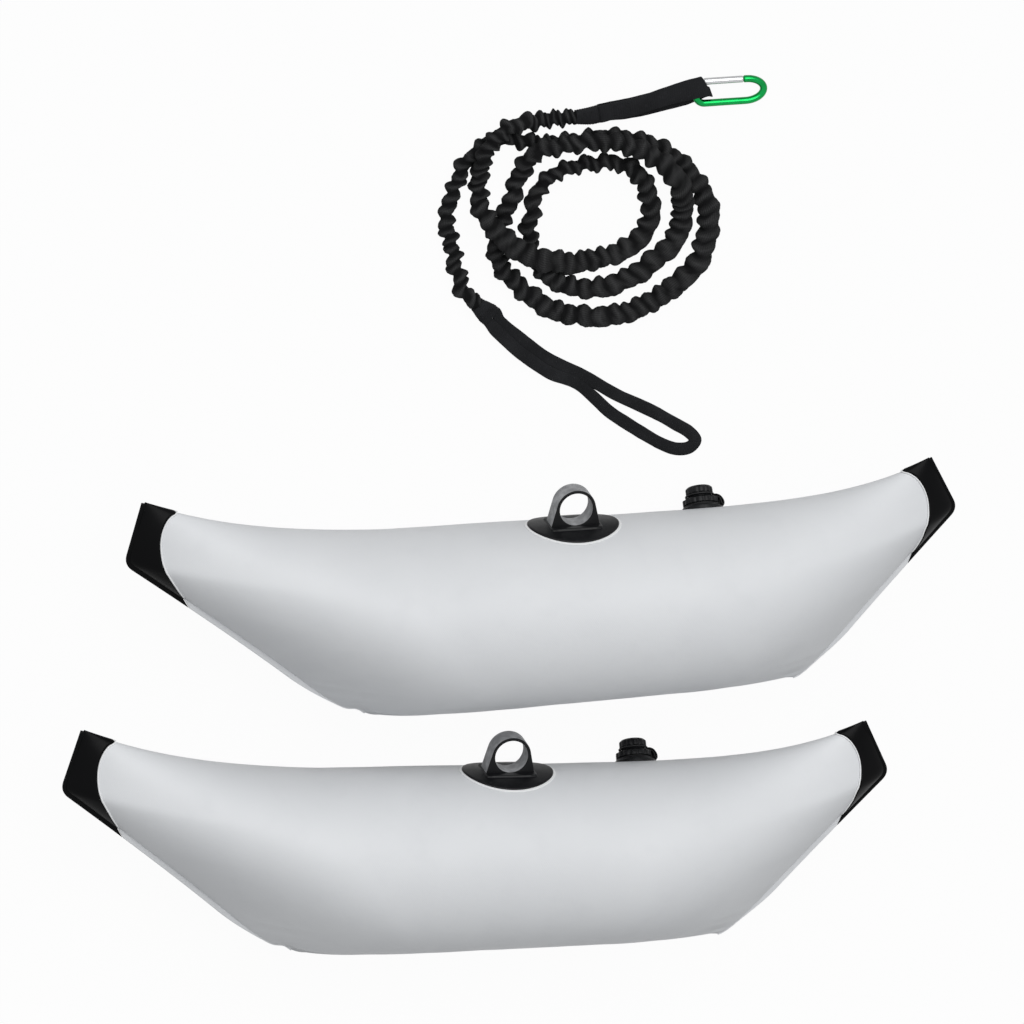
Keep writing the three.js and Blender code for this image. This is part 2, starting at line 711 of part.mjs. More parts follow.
// The directions across a strand and upwards from it, where the strand lies nearly level.
function strandFrame(curve, at) {
  const tangent = curve.getTangentAt(at);
  const across = new THREE.Vector3(-tangent.y, tangent.x, 0).normalize();
  return { centre: curve.getPointAt(at), across, up: new THREE.Vector3().crossVectors(tangent, across) };
}

function ovalRing(curve, at, halfWidth, halfHeight, sides) {
  const { centre, across, up } = strandFrame(curve, at);
  const ring = [];
  for (let j = 0; j < sides; j += 1) {
    const angle = (turn * (j + 0.5)) / sides;
    const point = centre.clone().addScaledVector(across, halfWidth * Math.cos(angle));
    ring.push(point.addScaledVector(up, halfHeight * Math.sin(angle)));
  }
  return ring;
}

function sleeveRings() {
  const rings = [];
  const count = 2 * sleeveRibs;
  for (let i = 0; i <= count; i += 1) {
    const at = i / count;
    const full = i === 0 || i === count ? 1 - ribDepthShare / 2 : 1 - ribDepthShare * (i % 2);
    const halfWidth = sleeveHalfWidth * sampleShares(sleeveWidthShares, at);
    rings.push({ at, halfWidth: halfWidth * full, halfHeight: sleeveHalfHeight * full });
  }
  return rings;
}

// The least gap between strands that pass each other, from each ring's points to the other strand's oval.
function leastSleeveGap(rings) {
  const length = sleeveCurve.getLength();
  const apart = 5 * sleeveHalfWidth;
  const frames = rings.map((ring) => ({ ...ring, ...strandFrame(sleeveCurve, ring.at) }));
  const offset = new THREE.Vector3();
  let least = Infinity;
  frames.forEach((a) => {
    const points = ovalRing(sleeveCurve, a.at, a.halfWidth, a.halfHeight, sleeveSides);
    frames.forEach((b) => {
      if (Math.abs(a.at - b.at) * length < apart || a.centre.distanceTo(b.centre) > apart) return;
      const normal = new THREE.Vector3().crossVectors(b.across, b.up);
      for (const point of points) {
        offset.subVectors(point, b.centre);
        if (Math.abs(offset.dot(normal)) > sleeveHalfHeight) continue;
        const x = offset.dot(b.across) / b.halfWidth;
        const y = offset.dot(b.up) / b.halfHeight;
        const beyond = Math.hypot(x, y);
        least = Math.min(least, offset.length() * (1 - 1 / beyond));
      }
    });
  });
  return least;
}

const isBoreRing = (ring, i, plan) => i % boreEveryRings === 0 || i === plan.length - 1;

function elasticSleeve() {
  const plan = sleeveRings();
  const outer = plan.map((r) => ovalRing(sleeveCurve, r.at, r.halfWidth, r.halfHeight, sleeveSides));
  const inner = plan
    .filter(isBoreRing)
    .map((r) => {
      const halfWidth = Math.min(boreWidthShare * sleeveHalfWidth, boreHeightShare * r.halfWidth);
      const halfHeight = boreHeightShare * sleeveHalfHeight;
      return ovalRing(sleeveCurve, r.at, halfWidth, halfHeight, sleeveSides).reverse();
    });
  const points = [...outer.flat(), ...inner.flat()];
  const faces = [];
  ringFaces(outer, 0, faces);
  ringFaces(inner, outer.length * sleeveSides, faces);
  const lastOuter = (outer.length - 1) * sleeveSides;
  const firstInner = outer.length * sleeveSides;
  const lastInner = points.length - sleeveSides;
  const facing = (j) => sleeveSides - 1 - (j % sleeveSides);
  for (let j = 0; j < sleeveSides; j += 1) {
    const next = (j + 1) % sleeveSides;
    const [a, b] = [firstInner + facing(j), firstInner + facing(next)];
    faces.push(j, b, next, j, a, b);
    const [c, d] = [lastInner + facing(j), lastInner + facing(next)];
    faces.push(lastOuter + j, lastOuter + next, d, lastOuter + j, d, c);
  }
  console.log(`least gap of the sleeve to itself ${leastSleeveGap(plan).toFixed(2)} mm`);
  console.log(`sleeve length ${sleeveCurve.getLength().toFixed(0)} mm`);
  return meshFrom(points, faces);
}

function elasticCore() {
  const stations = sleeveRings().filter(isBoreRing);
  return sweptBody(stations.map((r) => ovalRing(sleeveCurve, r.at, coreRadius, coreRadius, coreSides)));
}

// A band of webbing: a flat rectangle carried along a line of points, square to it.
function band(points, across, halfWidths, halfThicknesses) {
  const rings = points.map((point, i) => {
    const before = points[Math.max(0, i - 1)];
    const after = points[Math.min(points.length - 1, i + 1)];
    const tangent = after.clone().sub(before).normalize();
    const side = across ?? new THREE.Vector3(-tangent.y, tangent.x, 0).normalize();
    const up = new THREE.Vector3().crossVectors(tangent, side).normalize();
    const corners = [[1, -1], [1, 1], [-1, 1], [-1, -1]];
    return corners.map(([w, t]) => point.clone()
      .addScaledVector(side, w * halfWidths[i])
      .addScaledVector(up, t * halfThicknesses[i]));
  });
  return sweptBody(rings);
}

const loopGround = loopHalfThickness + floorGap;

function handLoop() {
  const curve = curveThrough(loopRoute, (layer) => loopGround + layer * loopEndRise);
  const points = curve.getSpacedPoints(loopSteps);
  const widths = points.map(() => loopHalfWidth);
  return band(points, null, widths, points.map(() => loopHalfThickness));
}

// A block from the sleeve's end, square to it, to a face at (x, y) that looks along turnDegrees.
function sewnEnd(at, x, y, turnDegrees, halfWidths, halfThicknesses) {
  const from = sleeveCurve.getPointAt(at);
  const out = sleeveCurve.getTangentAt(at).multiplyScalar(at > 0 ? 1 : -1);
  const facing = new THREE.Vector3(Math.cos(turnDegrees * degree), Math.sin(turnDegrees * degree), 0);
  const points = [
    from.clone().addScaledVector(out, fitGap),
    from.clone().addScaledVector(out, fitGap + sewnEndLead),
    new THREE.Vector3(x, y, halfThicknesses[2] + floorGap).addScaledVector(facing, -sewnEndLead),
    new THREE.Vector3(x, y, halfThicknesses[3] + floorGap),
  ];
  return band(points, null, halfWidths, halfThicknesses);
}

// Carabiner strap, along its own X from the sewn end to the fold

const rodHeight = floorGap + strapThickness + fitGap + rodRadius;
const strapTopHeight = rodHeight + rodRadius + fitGap + strapThickness / 2;
const strapLowHeight = floorGap + strapThickness / 2;
const strapAcross = new THREE.Vector3(0, 1, 0);

function halfTurn(centreX, low, high, facing, steps) {
  const radius = (high - low) / 2;
  const points = [];
  for (let i = 0; i <= steps; i += 1) {
    const angle = Math.PI * (0.5 - i / steps);
    const x = centreX + facing * radius * Math.cos(angle);
    points.push(new THREE.Vector3(x, 0, low + radius + radius * Math.sin(angle)));
  }
  return points;
}

function carabinerStrap() {
  const neckX = (strapEndHeight - strapLowHeight) / 2 + strapThickness;
  const points = [];
  const widths = [];
  for (let i = 0; i <= strapSteps; i += 1) {
    const share = i / strapSteps;
    const x = THREE.MathUtils.lerp(strapHingeX - fitGap / 2, strapNeckLength, share);
    const height = THREE.MathUtils.lerp(strapTopHeight, strapEndHeight, share ** 2);
    points.push(new THREE.Vector3(x, 0, height));
    widths.push(strapHalfWidth);
  }
  for (const point of halfTurn(neckX, strapLowHeight, strapEndHeight, -1, foldSteps)) {
    points.push(point);
    widths.push(strapNeckHalfWidth);
  }
  for (const x of [strapNeckLength, strapHingeX / 2, strapHingeX - fitGap / 2]) {
    points.push(new THREE.Vector3(x, 0, strapLowHeight));
    widths.push(strapHalfWidth);
  }
  return band(points, strapAcross, widths, points.map(() => strapThickness / 2));
}

function strapFold() {
  const points = [];
  const widths = [];
  const straight = [
    [strapHingeX + fitGap / 2, strapHalfWidth],
    [(strapHingeX + strapFoldX) / 2, strapHalfWidth],
    [strapFoldX - rodRadius / 2, strapFoldHalfWidth],
  ];
  for (const [x, halfWidth] of straight) {
    points.push(new THREE.Vector3(x, 0, strapTopHeight));
    widths.push(halfWidth);
  }
  for (const point of halfTurn(strapFoldX, strapLowHeight, strapTopHeight, 1, foldSteps)) {
    points.push(point);
    widths.push(strapFoldHalfWidth);
  }
  for (const [x, halfWidth] of straight.toReversed()) {
    points.push(new THREE.Vector3(x, 0, strapLowHeight));
    widths.push(halfWidth);
  }
  return band(points, strapAcross, widths, points.map(() => strapThickness / 2));
}

// Carabiner: gate along +X at the top of its outline, with the gate's pivot at x = 0

function clipCentreLine() {
  const points = [];
  const quarter = 8;
  const start = Math.asin(pivotSetback / clipSmallEnd);
  for (let i = 0; i <= 2 * quarter; i += 1) {
    const angle = THREE.MathUtils.lerp(start, Math.PI, i / (2 * quarter));
    points.push(new THREE.Vector3(-clipSmallEnd * Math.sin(angle), clipHalfWidth * Math.cos(angle), 0));
  }
  for (const share of [1 / 3, 2 / 3]) {
    points.push(new THREE.Vector3(clipLength * share, -clipHalfWidth, 0));
  }
  for (let i = 0; i <= 2 * quarter; i += 1) {
    const angle = (Math.PI * i) / (2 * quarter);
    const x = clipLength + clipLargeEnd * Math.sin(angle);
    points.push(new THREE.Vector3(x, -clipHalfWidth * Math.cos(angle), 0));
  }
  points.push(new THREE.Vector3(gateLength + gateEndGap, clipHalfWidth, 0));
  return new THREE.CatmullRomCurve3(points, false, 'centripetal');
}

function clipRod() {
  const circle = new THREE.Shape().absarc(0, 0, rodRadius, 0, turn);
  const options = { steps: clipSteps, curveSegments: clipSides, bevelEnabled: false, extrudePath: clipCentreLine() };
  return toSolid(new THREE.ExtrudeGeometry(circle, options));
}

function upright(radius, x, y, low, high, segments) {
  return disc(radius, low, high, segments).translate([x, y, 0]);
}

function carabinerBody() {
  const halfTab = tabThickness / 2;
  const reach = pivotSetback + rodRadius / 2;
  const arm = polygon([
    [0, clipHalfWidth - tabRadius], [0, clipHalfWidth + tabRadius / 2],
    [-reach, clipHalfWidth - rodRadius / 2 + tabRadius / 2], [-reach, clipHalfWidth - rodRadius],
  ]);
  const tab = upright(tabRadius, 0, clipHalfWidth, -halfTab, halfTab, gateSegments)
    .add(toSolid(prism(arm, -halfTab, halfTab)));
  const noseX = gateLength + gateEndGap;
  const tongue = polygon([
    [noseX - tongueLength, clipHalfWidth - tongueHalfWidth],
    [noseX + tongueHalfWidth, clipHalfWidth - tongueHalfWidth],
    [noseX + tongueHalfWidth, clipHalfWidth + tongueHalfWidth],
    [noseX - tongueLength, clipHalfWidth + tongueHalfWidth],
  ]);
  const notchRadius = catchPinRadius + fitGap;
  const notch = polygon([
    [catchPinX - notchRadius, clipHalfWidth], [catchPinX - notchRadius, clipHalfWidth - cutOverrun / 2],
    [catchPinX + notchRadius, clipHalfWidth - cutOverrun / 2], [catchPinX + notchRadius, clipHalfWidth],
  ]);
  const halfTongue = tongueThickness / 2;
  const hook = toSolid(prism(tongue, -halfTongue, halfTongue))
    .subtract(toSolid(prism(notch, -rodRadius, rodRadius)))
    .subtract(upright(notchRadius, catchPinX, clipHalfWidth, -rodRadius, rodRadius, pinSegments));
  const pinHole = upright(gatePinRadius + fitGap, 0, clipHalfWidth, -rodRadius, rodRadius, pinSegments);
  return clipRod().add(tab).add(hook).subtract(pinHole);
}

function alongX(radius, low, high, segments) {
  return toSolid(toGeometry(disc(radius, low, high, segments)).rotateY(Math.PI / 2))
    .translate([0, clipHalfWidth, 0]);
}

function slab(lowX, highX, halfHeight) {
  const box = new THREE.BoxGeometry(highX - lowX, 2 * cutOverrun, 2 * halfHeight);
  return toSolid(box.translate((lowX + highX) / 2, clipHalfWidth, 0));
}

function carabinerGate() {
  const outline = new THREE.Shape();
  outline.absarc(0, clipHalfWidth, gateRadius, Math.PI / 2, (3 * Math.PI) / 2, false);
  outline.lineTo(gateLength, clipHalfWidth - gateRadius);
  outline.lineTo(gateLength, clipHalfWidth + gateRadius);
  const slotStart = gateLength + gateEndGap - tongueLength - 3 * fitGap;
  return alongX(gateRadius, -gateRadius, gateLength, gateSegments)
    .intersect(toSolid(prism(outline, -gateRadius, gateRadius)))
    .subtract(slab(-cutOverrun, gateSlotDepth, tabThickness / 2 + fitGap))
    .subtract(slab(slotStart, gateLength + cutOverrun, tongueThickness / 2 + fitGap))
    .subtract(alongX(springBoreRadius, 0, springBoreEnd, pinSegments))
    .subtract(upright(gatePinRadius + fitGap, 0, clipHalfWidth, -rodRadius, rodRadius, pinSegments))
    .subtract(upright(catchPinRadius + fitGap, catchPinX, clipHalfWidth, -rodRadius, rodRadius, pinSegments));
}

const plungerStart = tabRadius + fitGap;

function gateSpring() {
  const low = plungerStart + plungerLength + springWireRadius + fitGap;
  const high = springBoreEnd - springWireRadius - fitGap;
  const steps = springTurns * springStepsPerTurn;
  const points = [];
  for (let i = 0; i <= steps; i += 1) {
    const angle = (turn * i) / springStepsPerTurn;
    const x = THREE.MathUtils.lerp(low, high, i / steps);
    const y = clipHalfWidth + springRadius * Math.cos(angle);
    points.push(new THREE.Vector3(x, y, springRadius * Math.sin(angle)));
  }
  const rings = points.map((point, i) => {
    const tangent = points[Math.min(steps, i + 1)].clone().sub(points[Math.max(0, i - 1)]).normalize();
    const outward = new THREE.Vector3(0, point.y - clipHalfWidth, point.z).normalize();
    const side = new THREE.Vector3().crossVectors(tangent, outward).normalize();
    const ring = [];
    for (let j = 0; j < springWireSides; j += 1) {
      const angle = (turn * j) / springWireSides;
      ring.push(point.clone().addScaledVector(outward, springWireRadius * Math.cos(angle))
        .addScaledVector(side, springWireRadius * Math.sin(angle)));
    }
    return ring;
  });
  return sweptBody(rings);
}

// Finishes

const finish = (color, roughness, metalness = 0) => () => (
  new THREE.MeshStandardMaterial({ color, roughness, metalness })
);
const greyVinyl = finish(0xc6c7c9, 0.45);
const blackVinyl = finish(0x17181a, 0.5);
const weldFilm = finish(0xdfe0e1, 0.35);
const blackMoulding = finish(0x1d1e21, 0.45);
const softRubber = finish(0x262628, 0.7);
const blackCloth = finish(0x151515, 0.95);
const elasticRubber = finish(0x3a3632, 0.8);
const greenAnodising = finish(0x14a53c, 0.25, 0.9);
const brightSteel = finish(0xc9cacc, 0.25, 1);

function part(name, shape, material) {
  const geometry = shape.isBufferGeometry ? shape : toGeometry(shape);
  const mesh = new THREE.Mesh(geometry, material());
  mesh.name = name;
  return mesh;
}

// Assembly

function valve(letter) {
  const group = new THREE.Group();
  group.applyMatrix4(valvePlace);
  group.add(part(`plug_gasket_${letter}`, plugGasket(), softRubber));
  group.add(part(`valve_plug_${letter}`, valvePlug(), blackMoulding));
  group.add(part(`valve_flap_${letter}`, valveFlap(), softRubber));
  group.add(part(`cap_tether_${letter}`, capTether(), softRubber));
  group.add(part(`tether_ring_${letter}`, tetherRing(), softRubber));
  group.add(part(`valve_cap_${letter}`, valveCap(), blackMoulding));
  return group;
}

function outriggerFloat(letter, x, y, turnDegrees) {
  const group = new THREE.Group();
  const outer = floatLoft(0);
  const underCap = floatLoft(fitGap);
  group.add(part(`float_skin_${letter}`, floatSkin(outer), greyVinyl));
  group.add(part(`end_cap_left_${letter}`, endCap(leftSide, underCap), blackVinyl));
  group.add(part(`end_cap_right_${letter}`, endCap(rightSide, underCap), blackVinyl));
  group.add(part(`ring_patch_${letter}`, ringPatch(), weldFilm));
  group.add(part(`arm_ring_${letter}`, armRing(), blackMoulding));
  group.add(part(`valve_base_${letter}`, valveBase(), blackMoulding));
  group.add(valve(letter));
  group.position.set(x, y, floatHalfDepth);
  group.rotation.z = turnDegrees * degree;
  return group;
}

function carabiner() {
  const group = new THREE.Group();
  const halfPin = gateRadius - fitGap;
  const pivotPin = upright(gatePinRadius, 0, clipHalfWidth, -halfPin, halfPin, pinSegments);
  const catchPin = upright(catchPinRadius, catchPinX, clipHalfWidth, -halfPin, halfPin, pinSegments);
  const plunger = alongX(springBoreRadius - fitGap, plungerStart, plungerStart + plungerLength, pinSegments);
  group.add(part('carabiner_body', carabinerBody(), greenAnodising));
  group.add(part('carabiner_gate', carabinerGate(), brightSteel));
  group.add(part('gate_pin', pivotPin, brightSteel));
  group.add(part('catch_pin', catchPin, brightSteel));
  group.add(part('gate_plunger', plunger, brightSteel));
  group.add(part('gate_spring', gateSpring(), brightSteel));
  group.position.set(clipX, clipY, rodHeight);
  group.rotation.z = clipTurn * degree;
  return group;
}

function leash() {
  const group = new THREE.Group();
  group.add(part('elastic_sleeve', elasticSleeve(), blackCloth));
  group.add(part('elastic_core', elasticCore(), elasticRubber));
  group.add(part('hand_loop', handLoop(), blackCloth));
  const loopEnd = sewnEnd(1, loopEndX, loopEndY, loopEndTurn, loopEndHalfWidths, loopEndHalfThicknesses);
  const strapEnd = sewnEnd(0, strapX, strapY, strapTurn, strapEndHalfWidths, strapEndHalfThicknesses);
  group.add(part('sewn_end_loop', loopEnd, blackCloth));
  group.add(part('sewn_end_strap', strapEnd, blackCloth));
  const strap = new THREE.Group();
  strap.add(part('carabiner_strap', carabinerStrap(), blackCloth));
  strap.add(part('strap_fold', strapFold(), blackCloth));
  strap.position.set(strapX, strapY, 0);
  strap.rotation.z = strapTurn * degree;
  group.add(strap, carabiner());
  group.position.set(leashX, leashY, 0);
  return group;
}

const kit = new THREE.Group();
kit.add(outriggerFloat('a', nearFloatX, nearFloatY, nearFloatTurn));
kit.add(outriggerFloat('b', farFloatX, farFloatY, farFloatTurn));
kit.add(leash());

export default kit;
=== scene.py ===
"""Looks of the inflatable kayak outrigger kit: two floats and a coiled elastic leash on a white floor."""
import math

import bpy
import numpy as np
from mathutils import Matrix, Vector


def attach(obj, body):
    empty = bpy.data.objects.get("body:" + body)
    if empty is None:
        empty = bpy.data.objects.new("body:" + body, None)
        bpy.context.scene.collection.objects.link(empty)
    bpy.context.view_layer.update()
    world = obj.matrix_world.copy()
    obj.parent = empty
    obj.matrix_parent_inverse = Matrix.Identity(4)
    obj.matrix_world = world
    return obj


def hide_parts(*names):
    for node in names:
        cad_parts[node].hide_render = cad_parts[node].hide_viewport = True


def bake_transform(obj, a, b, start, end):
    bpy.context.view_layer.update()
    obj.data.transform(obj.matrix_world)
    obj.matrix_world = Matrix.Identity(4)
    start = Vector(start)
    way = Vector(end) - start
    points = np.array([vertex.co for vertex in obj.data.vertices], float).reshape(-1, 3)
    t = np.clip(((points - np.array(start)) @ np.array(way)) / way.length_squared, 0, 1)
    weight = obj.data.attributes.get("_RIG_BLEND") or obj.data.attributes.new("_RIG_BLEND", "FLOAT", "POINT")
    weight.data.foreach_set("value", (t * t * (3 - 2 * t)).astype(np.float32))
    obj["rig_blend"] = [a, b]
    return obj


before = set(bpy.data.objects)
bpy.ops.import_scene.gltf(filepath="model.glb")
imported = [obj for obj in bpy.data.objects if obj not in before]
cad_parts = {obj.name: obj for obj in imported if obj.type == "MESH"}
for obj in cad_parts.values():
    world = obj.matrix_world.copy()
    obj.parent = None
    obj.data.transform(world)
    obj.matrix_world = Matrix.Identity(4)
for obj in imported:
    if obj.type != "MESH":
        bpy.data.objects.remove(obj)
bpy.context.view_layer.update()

turn = 2 * np.pi
metre = 0.001  # shapes are worked out in millimetres
float_half_depth = 104.0


# Camera

target = np.array([-13.1, 30.5, 104.0])
camera_distance = 28161.0
camera_right = np.array([0.9639, 0.0715, 0.2565])
camera_up = np.array([0.0293, 0.9289, -0.3691])
camera_back = np.array([-0.2646, 0.3633, 0.8933])


def add_object(name, data):
    """A new object of this data, at the origin."""
    thing = bpy.data.objects.new(name, data)
    bpy.context.scene.collection.objects.link(thing)
    return thing


def stand(thing, right, up, back, at=(0, 0, 0)):
    """Puts a camera or a lamp at a point, with these axes. It looks against its back axis."""
    matrix = np.eye(4)
    matrix[:3] = np.stack([right, up, back, at], 1)
    thing.matrix_world = Matrix(matrix.tolist())


def add_camera():
    """Stands at target + distance · back and looks at the target."""
    data = bpy.data.cameras.new("camera")
    data.lens, data.sensor_width = 900, 36
    camera = add_object("camera", data)
    eye = (target + camera_distance * camera_back) * metre
    stand(camera, camera_right, camera_up, camera_back, eye)
    bpy.context.scene.camera = camera


add_camera()


# Surfaces on grids

merge_distance = 1e-4  # in millimetres


def unit(v):
    """The vector or vectors at length 1."""
    return v / np.maximum(np.linalg.norm(v, axis=-1, keepdims=True), 1e-12)


def smoothstep(low, high, x):
    """0 below low, 1 above high, and 3t² − 2t³ between."""
    t = np.clip((x - low) / (high - low), 0, 1)
    return t * t * (3 - 2 * t)


def waves(x, seed, octaves=4):
    """A sum of sines of x with phases from the seed, each octave twice as fine and half as high."""
    phases = np.random.default_rng(seed).uniform(0, turn, 2 * octaves)
    total = 0
    for k in range(octaves):
        wave = 2 ** k * x
        pair = np.sin(wave + phases[2 * k]) + np.sin(1.63 * wave + phases[2 * k + 1])
        total = total + 0.5 ** k * pair
    return total / 3


def lengths(line):
    """The length along a line of points up to each point."""
    return np.r_[0, np.cumsum(np.linalg.norm(np.diff(line, axis=0), axis=1))]


class Surface:
    """Collects closed grids of points, in millimetres, and makes one mesh of them. A corner of a face has
    three texture values: u and v of the cloth layer, and u of the painted fold shade layer, which holds
    painted light and shade."""

    def __init__(self):
        self.points, self.faces, self.uvs, self.count = [], [], [], 0

    def grid(self, points, wrap_rows=False, close=True, uv=None):
        """Quads between neighbouring points. Each row is a ring, and wrap_rows joins the last row to the
        first. close adds a middle point to each end row. uv gives a length in millimetres along and across,
        and a painted light and shade value, low in a fold's hollow and high on its ridge. Points at one place
        are merged, and faces turned out."""
        points = np.asarray(points, float)
        if close and not wrap_rows:
            first, last = points[:1].mean(1, keepdims=True), points[-1:].mean(1, keepdims=True)
            wide = np.ones((1, points.shape[1], 1))
            points = np.concatenate([first * wide, points, last * wide])
            if uv is not None:
                uv = np.concatenate([uv[:1], uv, uv[-1:]])
        rows, cols = points.shape[:2]
        i = np.arange(rows if wrap_rows else rows - 1)[:, None]
        j = np.arange(cols)[None, :]
        corners = [(i, j), (i, j + 1), (i + 1, j + 1), (i + 1, j)]
        quads = np.stack([(a % rows) * cols + b % cols + 0 * (i + j) for a, b in corners], -1).reshape(-1, 4)
        if uv is None:
            along = np.cumsum(np.r_[0, np.linalg.norm(np.diff(points, axis=0), axis=-1).mean(1), 0])
            across = np.cumsum(np.r_[0, np.linalg.norm(np.diff(points, axis=1), axis=-1).mean(0), 0])
            cloth = np.meshgrid(along, across, indexing="ij")
            uv = np.stack([*cloth, np.ones_like(cloth[0])], -1)
        uv = np.concatenate([uv, uv[-1:]]) if uv.shape[0] == rows else uv
        uv = np.concatenate([uv, 2 * uv[:, -1:] - uv[:, -2:-1]], 1) if uv.shape[1] == cols else uv
        quad_uv = np.stack([uv[a + 0 * j, b + 0 * i] for a, b in corners], -2).reshape(-1, 4, 3)
        flat = points.reshape(-1, 3)
        cells = np.round(flat / merge_distance).astype(np.int64)
        _, first, inverse = np.unique(cells, axis=0, return_index=True, return_inverse=True)
        flat, quads = flat[first], inverse.reshape(-1)[quads]
        if self.volume(flat, quads) < 0:
            quads, quad_uv = quads[:, ::-1], quad_uv[:, ::-1]
        same = quads == np.roll(quads, -1, axis=1)
        whole = ~same.any(1)
        faces, uvs = quads[whole].tolist(), quad_uv[whole].reshape(-1, 3).tolist()
        for quad, corner_uv, drop in zip(quads[~whole], quad_uv[~whole], same[~whole]):
            if drop.sum() == 1:
                faces.append(quad[~drop].tolist())
                uvs.extend(corner_uv[~drop].tolist())
        self.points.append(flat)
        self.faces.extend([[v + self.count for v in face] for face in faces])
        self.uvs.extend(uvs)
        self.count += len(flat)
        return self

    @staticmethod
    def volume(points, quads):
        """The sum of a · (b × c) over each quad's two triangles: positive where they face out."""
        p = points - points.mean(0)
        a, b, c, d = (p[quads[:, k]] for k in range(4))
        return np.einsum("ij,ij->", a, np.cross(b, c)) + np.einsum("ij,ij->", a, np.cross(c, d))

    def piece(self, name, body, slot, finish, replaces=(), sharp=None):
        """One smooth mesh in metres, with edges that bend by more than sharp degrees kept sharp."""
        mesh = bpy.data.meshes.new(name)
        mesh.from_pydata((np.concatenate(self.points) * metre).tolist(), [], self.faces)
        uvs = np.array(self.uvs, np.float32)
        # The second layer carries the painted light and shade of the folds.
        for name_of_layer, values in (("cloth", uvs[:, :2] * metre), ("ridge", uvs[:, 2:] * [1, 0])):
            layer = mesh.uv_layers.new(name=name_of_layer)
            layer.data.foreach_set("uv", values.astype(np.float32).ravel())
        mesh.uv_layers.active_index = 0
        mesh.polygons.foreach_set("use_smooth", np.ones(len(mesh.polygons), bool))
        if sharp:
            mesh.set_sharp_from_angle(angle=math.radians(sharp))
        mesh.materials.append(finish)
        mesh.update()
        piece = add_object(name, mesh)
        if body:
            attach(piece, body)
        if replaces:
            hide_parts(*replaces)
        return piece


def put(points, x=0.0, y=0.0, z=0.0, degrees=0.0):
    """Turns points about Z by degrees and moves them by (x, y, z)."""
    c, s = np.cos(np.radians(degrees)), np.sin(np.radians(degrees))
    px, py, pz = points[..., 0], points[..., 1], points[..., 2]
    return np.stack([c * px - s * py + x, s * px + c * py + y, pz + z], -1)


def rounded(profile, radius, steps=4, closed=False):
    """Each corner of a polyline becomes a quadratic curve between the points at radius from it."""
    p = np.asarray(profile, float)
    t = np.linspace(0, 1, steps + 1)[:, None]
    out = [] if closed else [p[:1]]
    for k in range(0 if closed else 1, len(p) if closed else len(p) - 1):
        before, here, after = p[k - 1], p[k], p[(k + 1) % len(p)]
        r0 = min(radius, 0.45 * np.linalg.norm(before - here))
        r1 = min(radius, 0.45 * np.linalg.norm(after - here))
        a, b = here + r0 * unit(before - here), here + r1 * unit(after - here)
        out.append((1 - t) ** 2 * a + 2 * t * (1 - t) * here + t ** 2 * b)
    return np.concatenate(out if closed else out + [p[-1:]])


def turned(profile, sides, grips=0, depth=0.0, grip_share=None):
    """A profile of (radius, height) turned about Z. Between two grips its radius is less by up to
    depth · share, as ((1 − cos(grips · angle)) / 2)³."""
    angle = np.arange(sides) * turn / sides
    share = np.ones(len(profile)) if grip_share is None else np.asarray(grip_share)
    wave = (0.5 - 0.5 * np.cos(grips * angle)) ** 3 if grips else 0 * angle
    r = np.maximum(profile[:, 0][:, None] - depth * share[:, None] * wave[None, :], 0)
    z = profile[:, 1][:, None] + 0 * r
    return np.stack([r * np.cos(angle), r * np.sin(angle), z], -1)


def swept(path, across, up, section):
    """A section of (across, up) distances, one for all or one for each point, carried along a path."""
    section = np.broadcast_to(section, (len(path),) + np.shape(section)[-2:])
    return path[:, None] + section[..., :1] * across[:, None] + section[..., 1:] * up[:, None]


def section_angles(sides):
    """Even angles round a section, half a step off its axes."""
    return (np.arange(sides) + 0.5) * turn / sides


def soft_rectangle(half_width, half_height, sides, power):
    """x = a · |cos t|^(2/n) and y = b · |sin t|^(2/n), with the signs of cos t and sin t."""
    t = section_angles(sides)
    c, s = np.cos(t), np.sin(t)
    x = np.sign(c) * np.abs(c) ** (2 / power)
    y = np.sign(s) * np.abs(s) ** (2 / power)
    return np.stack([np.multiply.outer(half_width, x), np.multiply.outer(half_height, y)], -1)


def spline(route, count=None, step=None):
    """Centripetal Catmull-Rom through the route's points, then even steps along its length."""
    p = np.asarray(route, float)
    ext = np.concatenate([2 * p[:1] - p[1:2], p, 2 * p[-1:] - p[-2:-1]])
    p0, p1, p2, p3 = ext[:-3], ext[1:-2], ext[2:-1], ext[3:]
    gaps = np.sqrt(np.linalg.norm(np.diff(ext, axis=0), axis=1, keepdims=True))
    d0, d1, d2 = gaps[:-2], gaps[1:-1], gaps[2:]
    m1 = ((p1 - p0) / d0 - (p2 - p0) / (d0 + d1) + (p2 - p1) / d1) * d1
    m2 = ((p2 - p1) / d1 - (p3 - p1) / (d1 + d2) + (p3 - p2) / d2) * d1
    t = np.linspace(0, 1, 40, endpoint=False)[None, :, None]
    a, b, c, d = p1, m1, 3 * (p2 - p1) - 2 * m1 - m2, 2 * (p1 - p2) + m1 + m2
    dense = (a[:, None] + b[:, None] * t + c[:, None] * t ** 2 + d[:, None] * t ** 3).reshape(-1, 3)
    dense = np.concatenate([dense, p[-1:]])
    length = lengths(dense)
    count = count or int(round(length[-1] / step)) + 1
    at = np.linspace(0, length[-1], count)
    return np.stack([np.interp(at, length, dense[:, k]) for k in range(3)], -1), at


def strand_axes(path):
    """Along the path, level and square to it, and square to both."""
    along = unit(np.gradient(path, axis=0))
    across = unit(np.stack([-along[:, 1], along[:, 0], 0 * along[:, 0]], -1))
    return along, across, np.cross(along, across)


# Finishes

def overload(operation, reflected=False):
    """A method that adds a Math node for a wire and another value, or for the two in reflected order."""
    def method(wire, other):
        values = (other, wire) if reflected else (wire, other)
        return wire.nodes.maths(operation, *values)
    return method


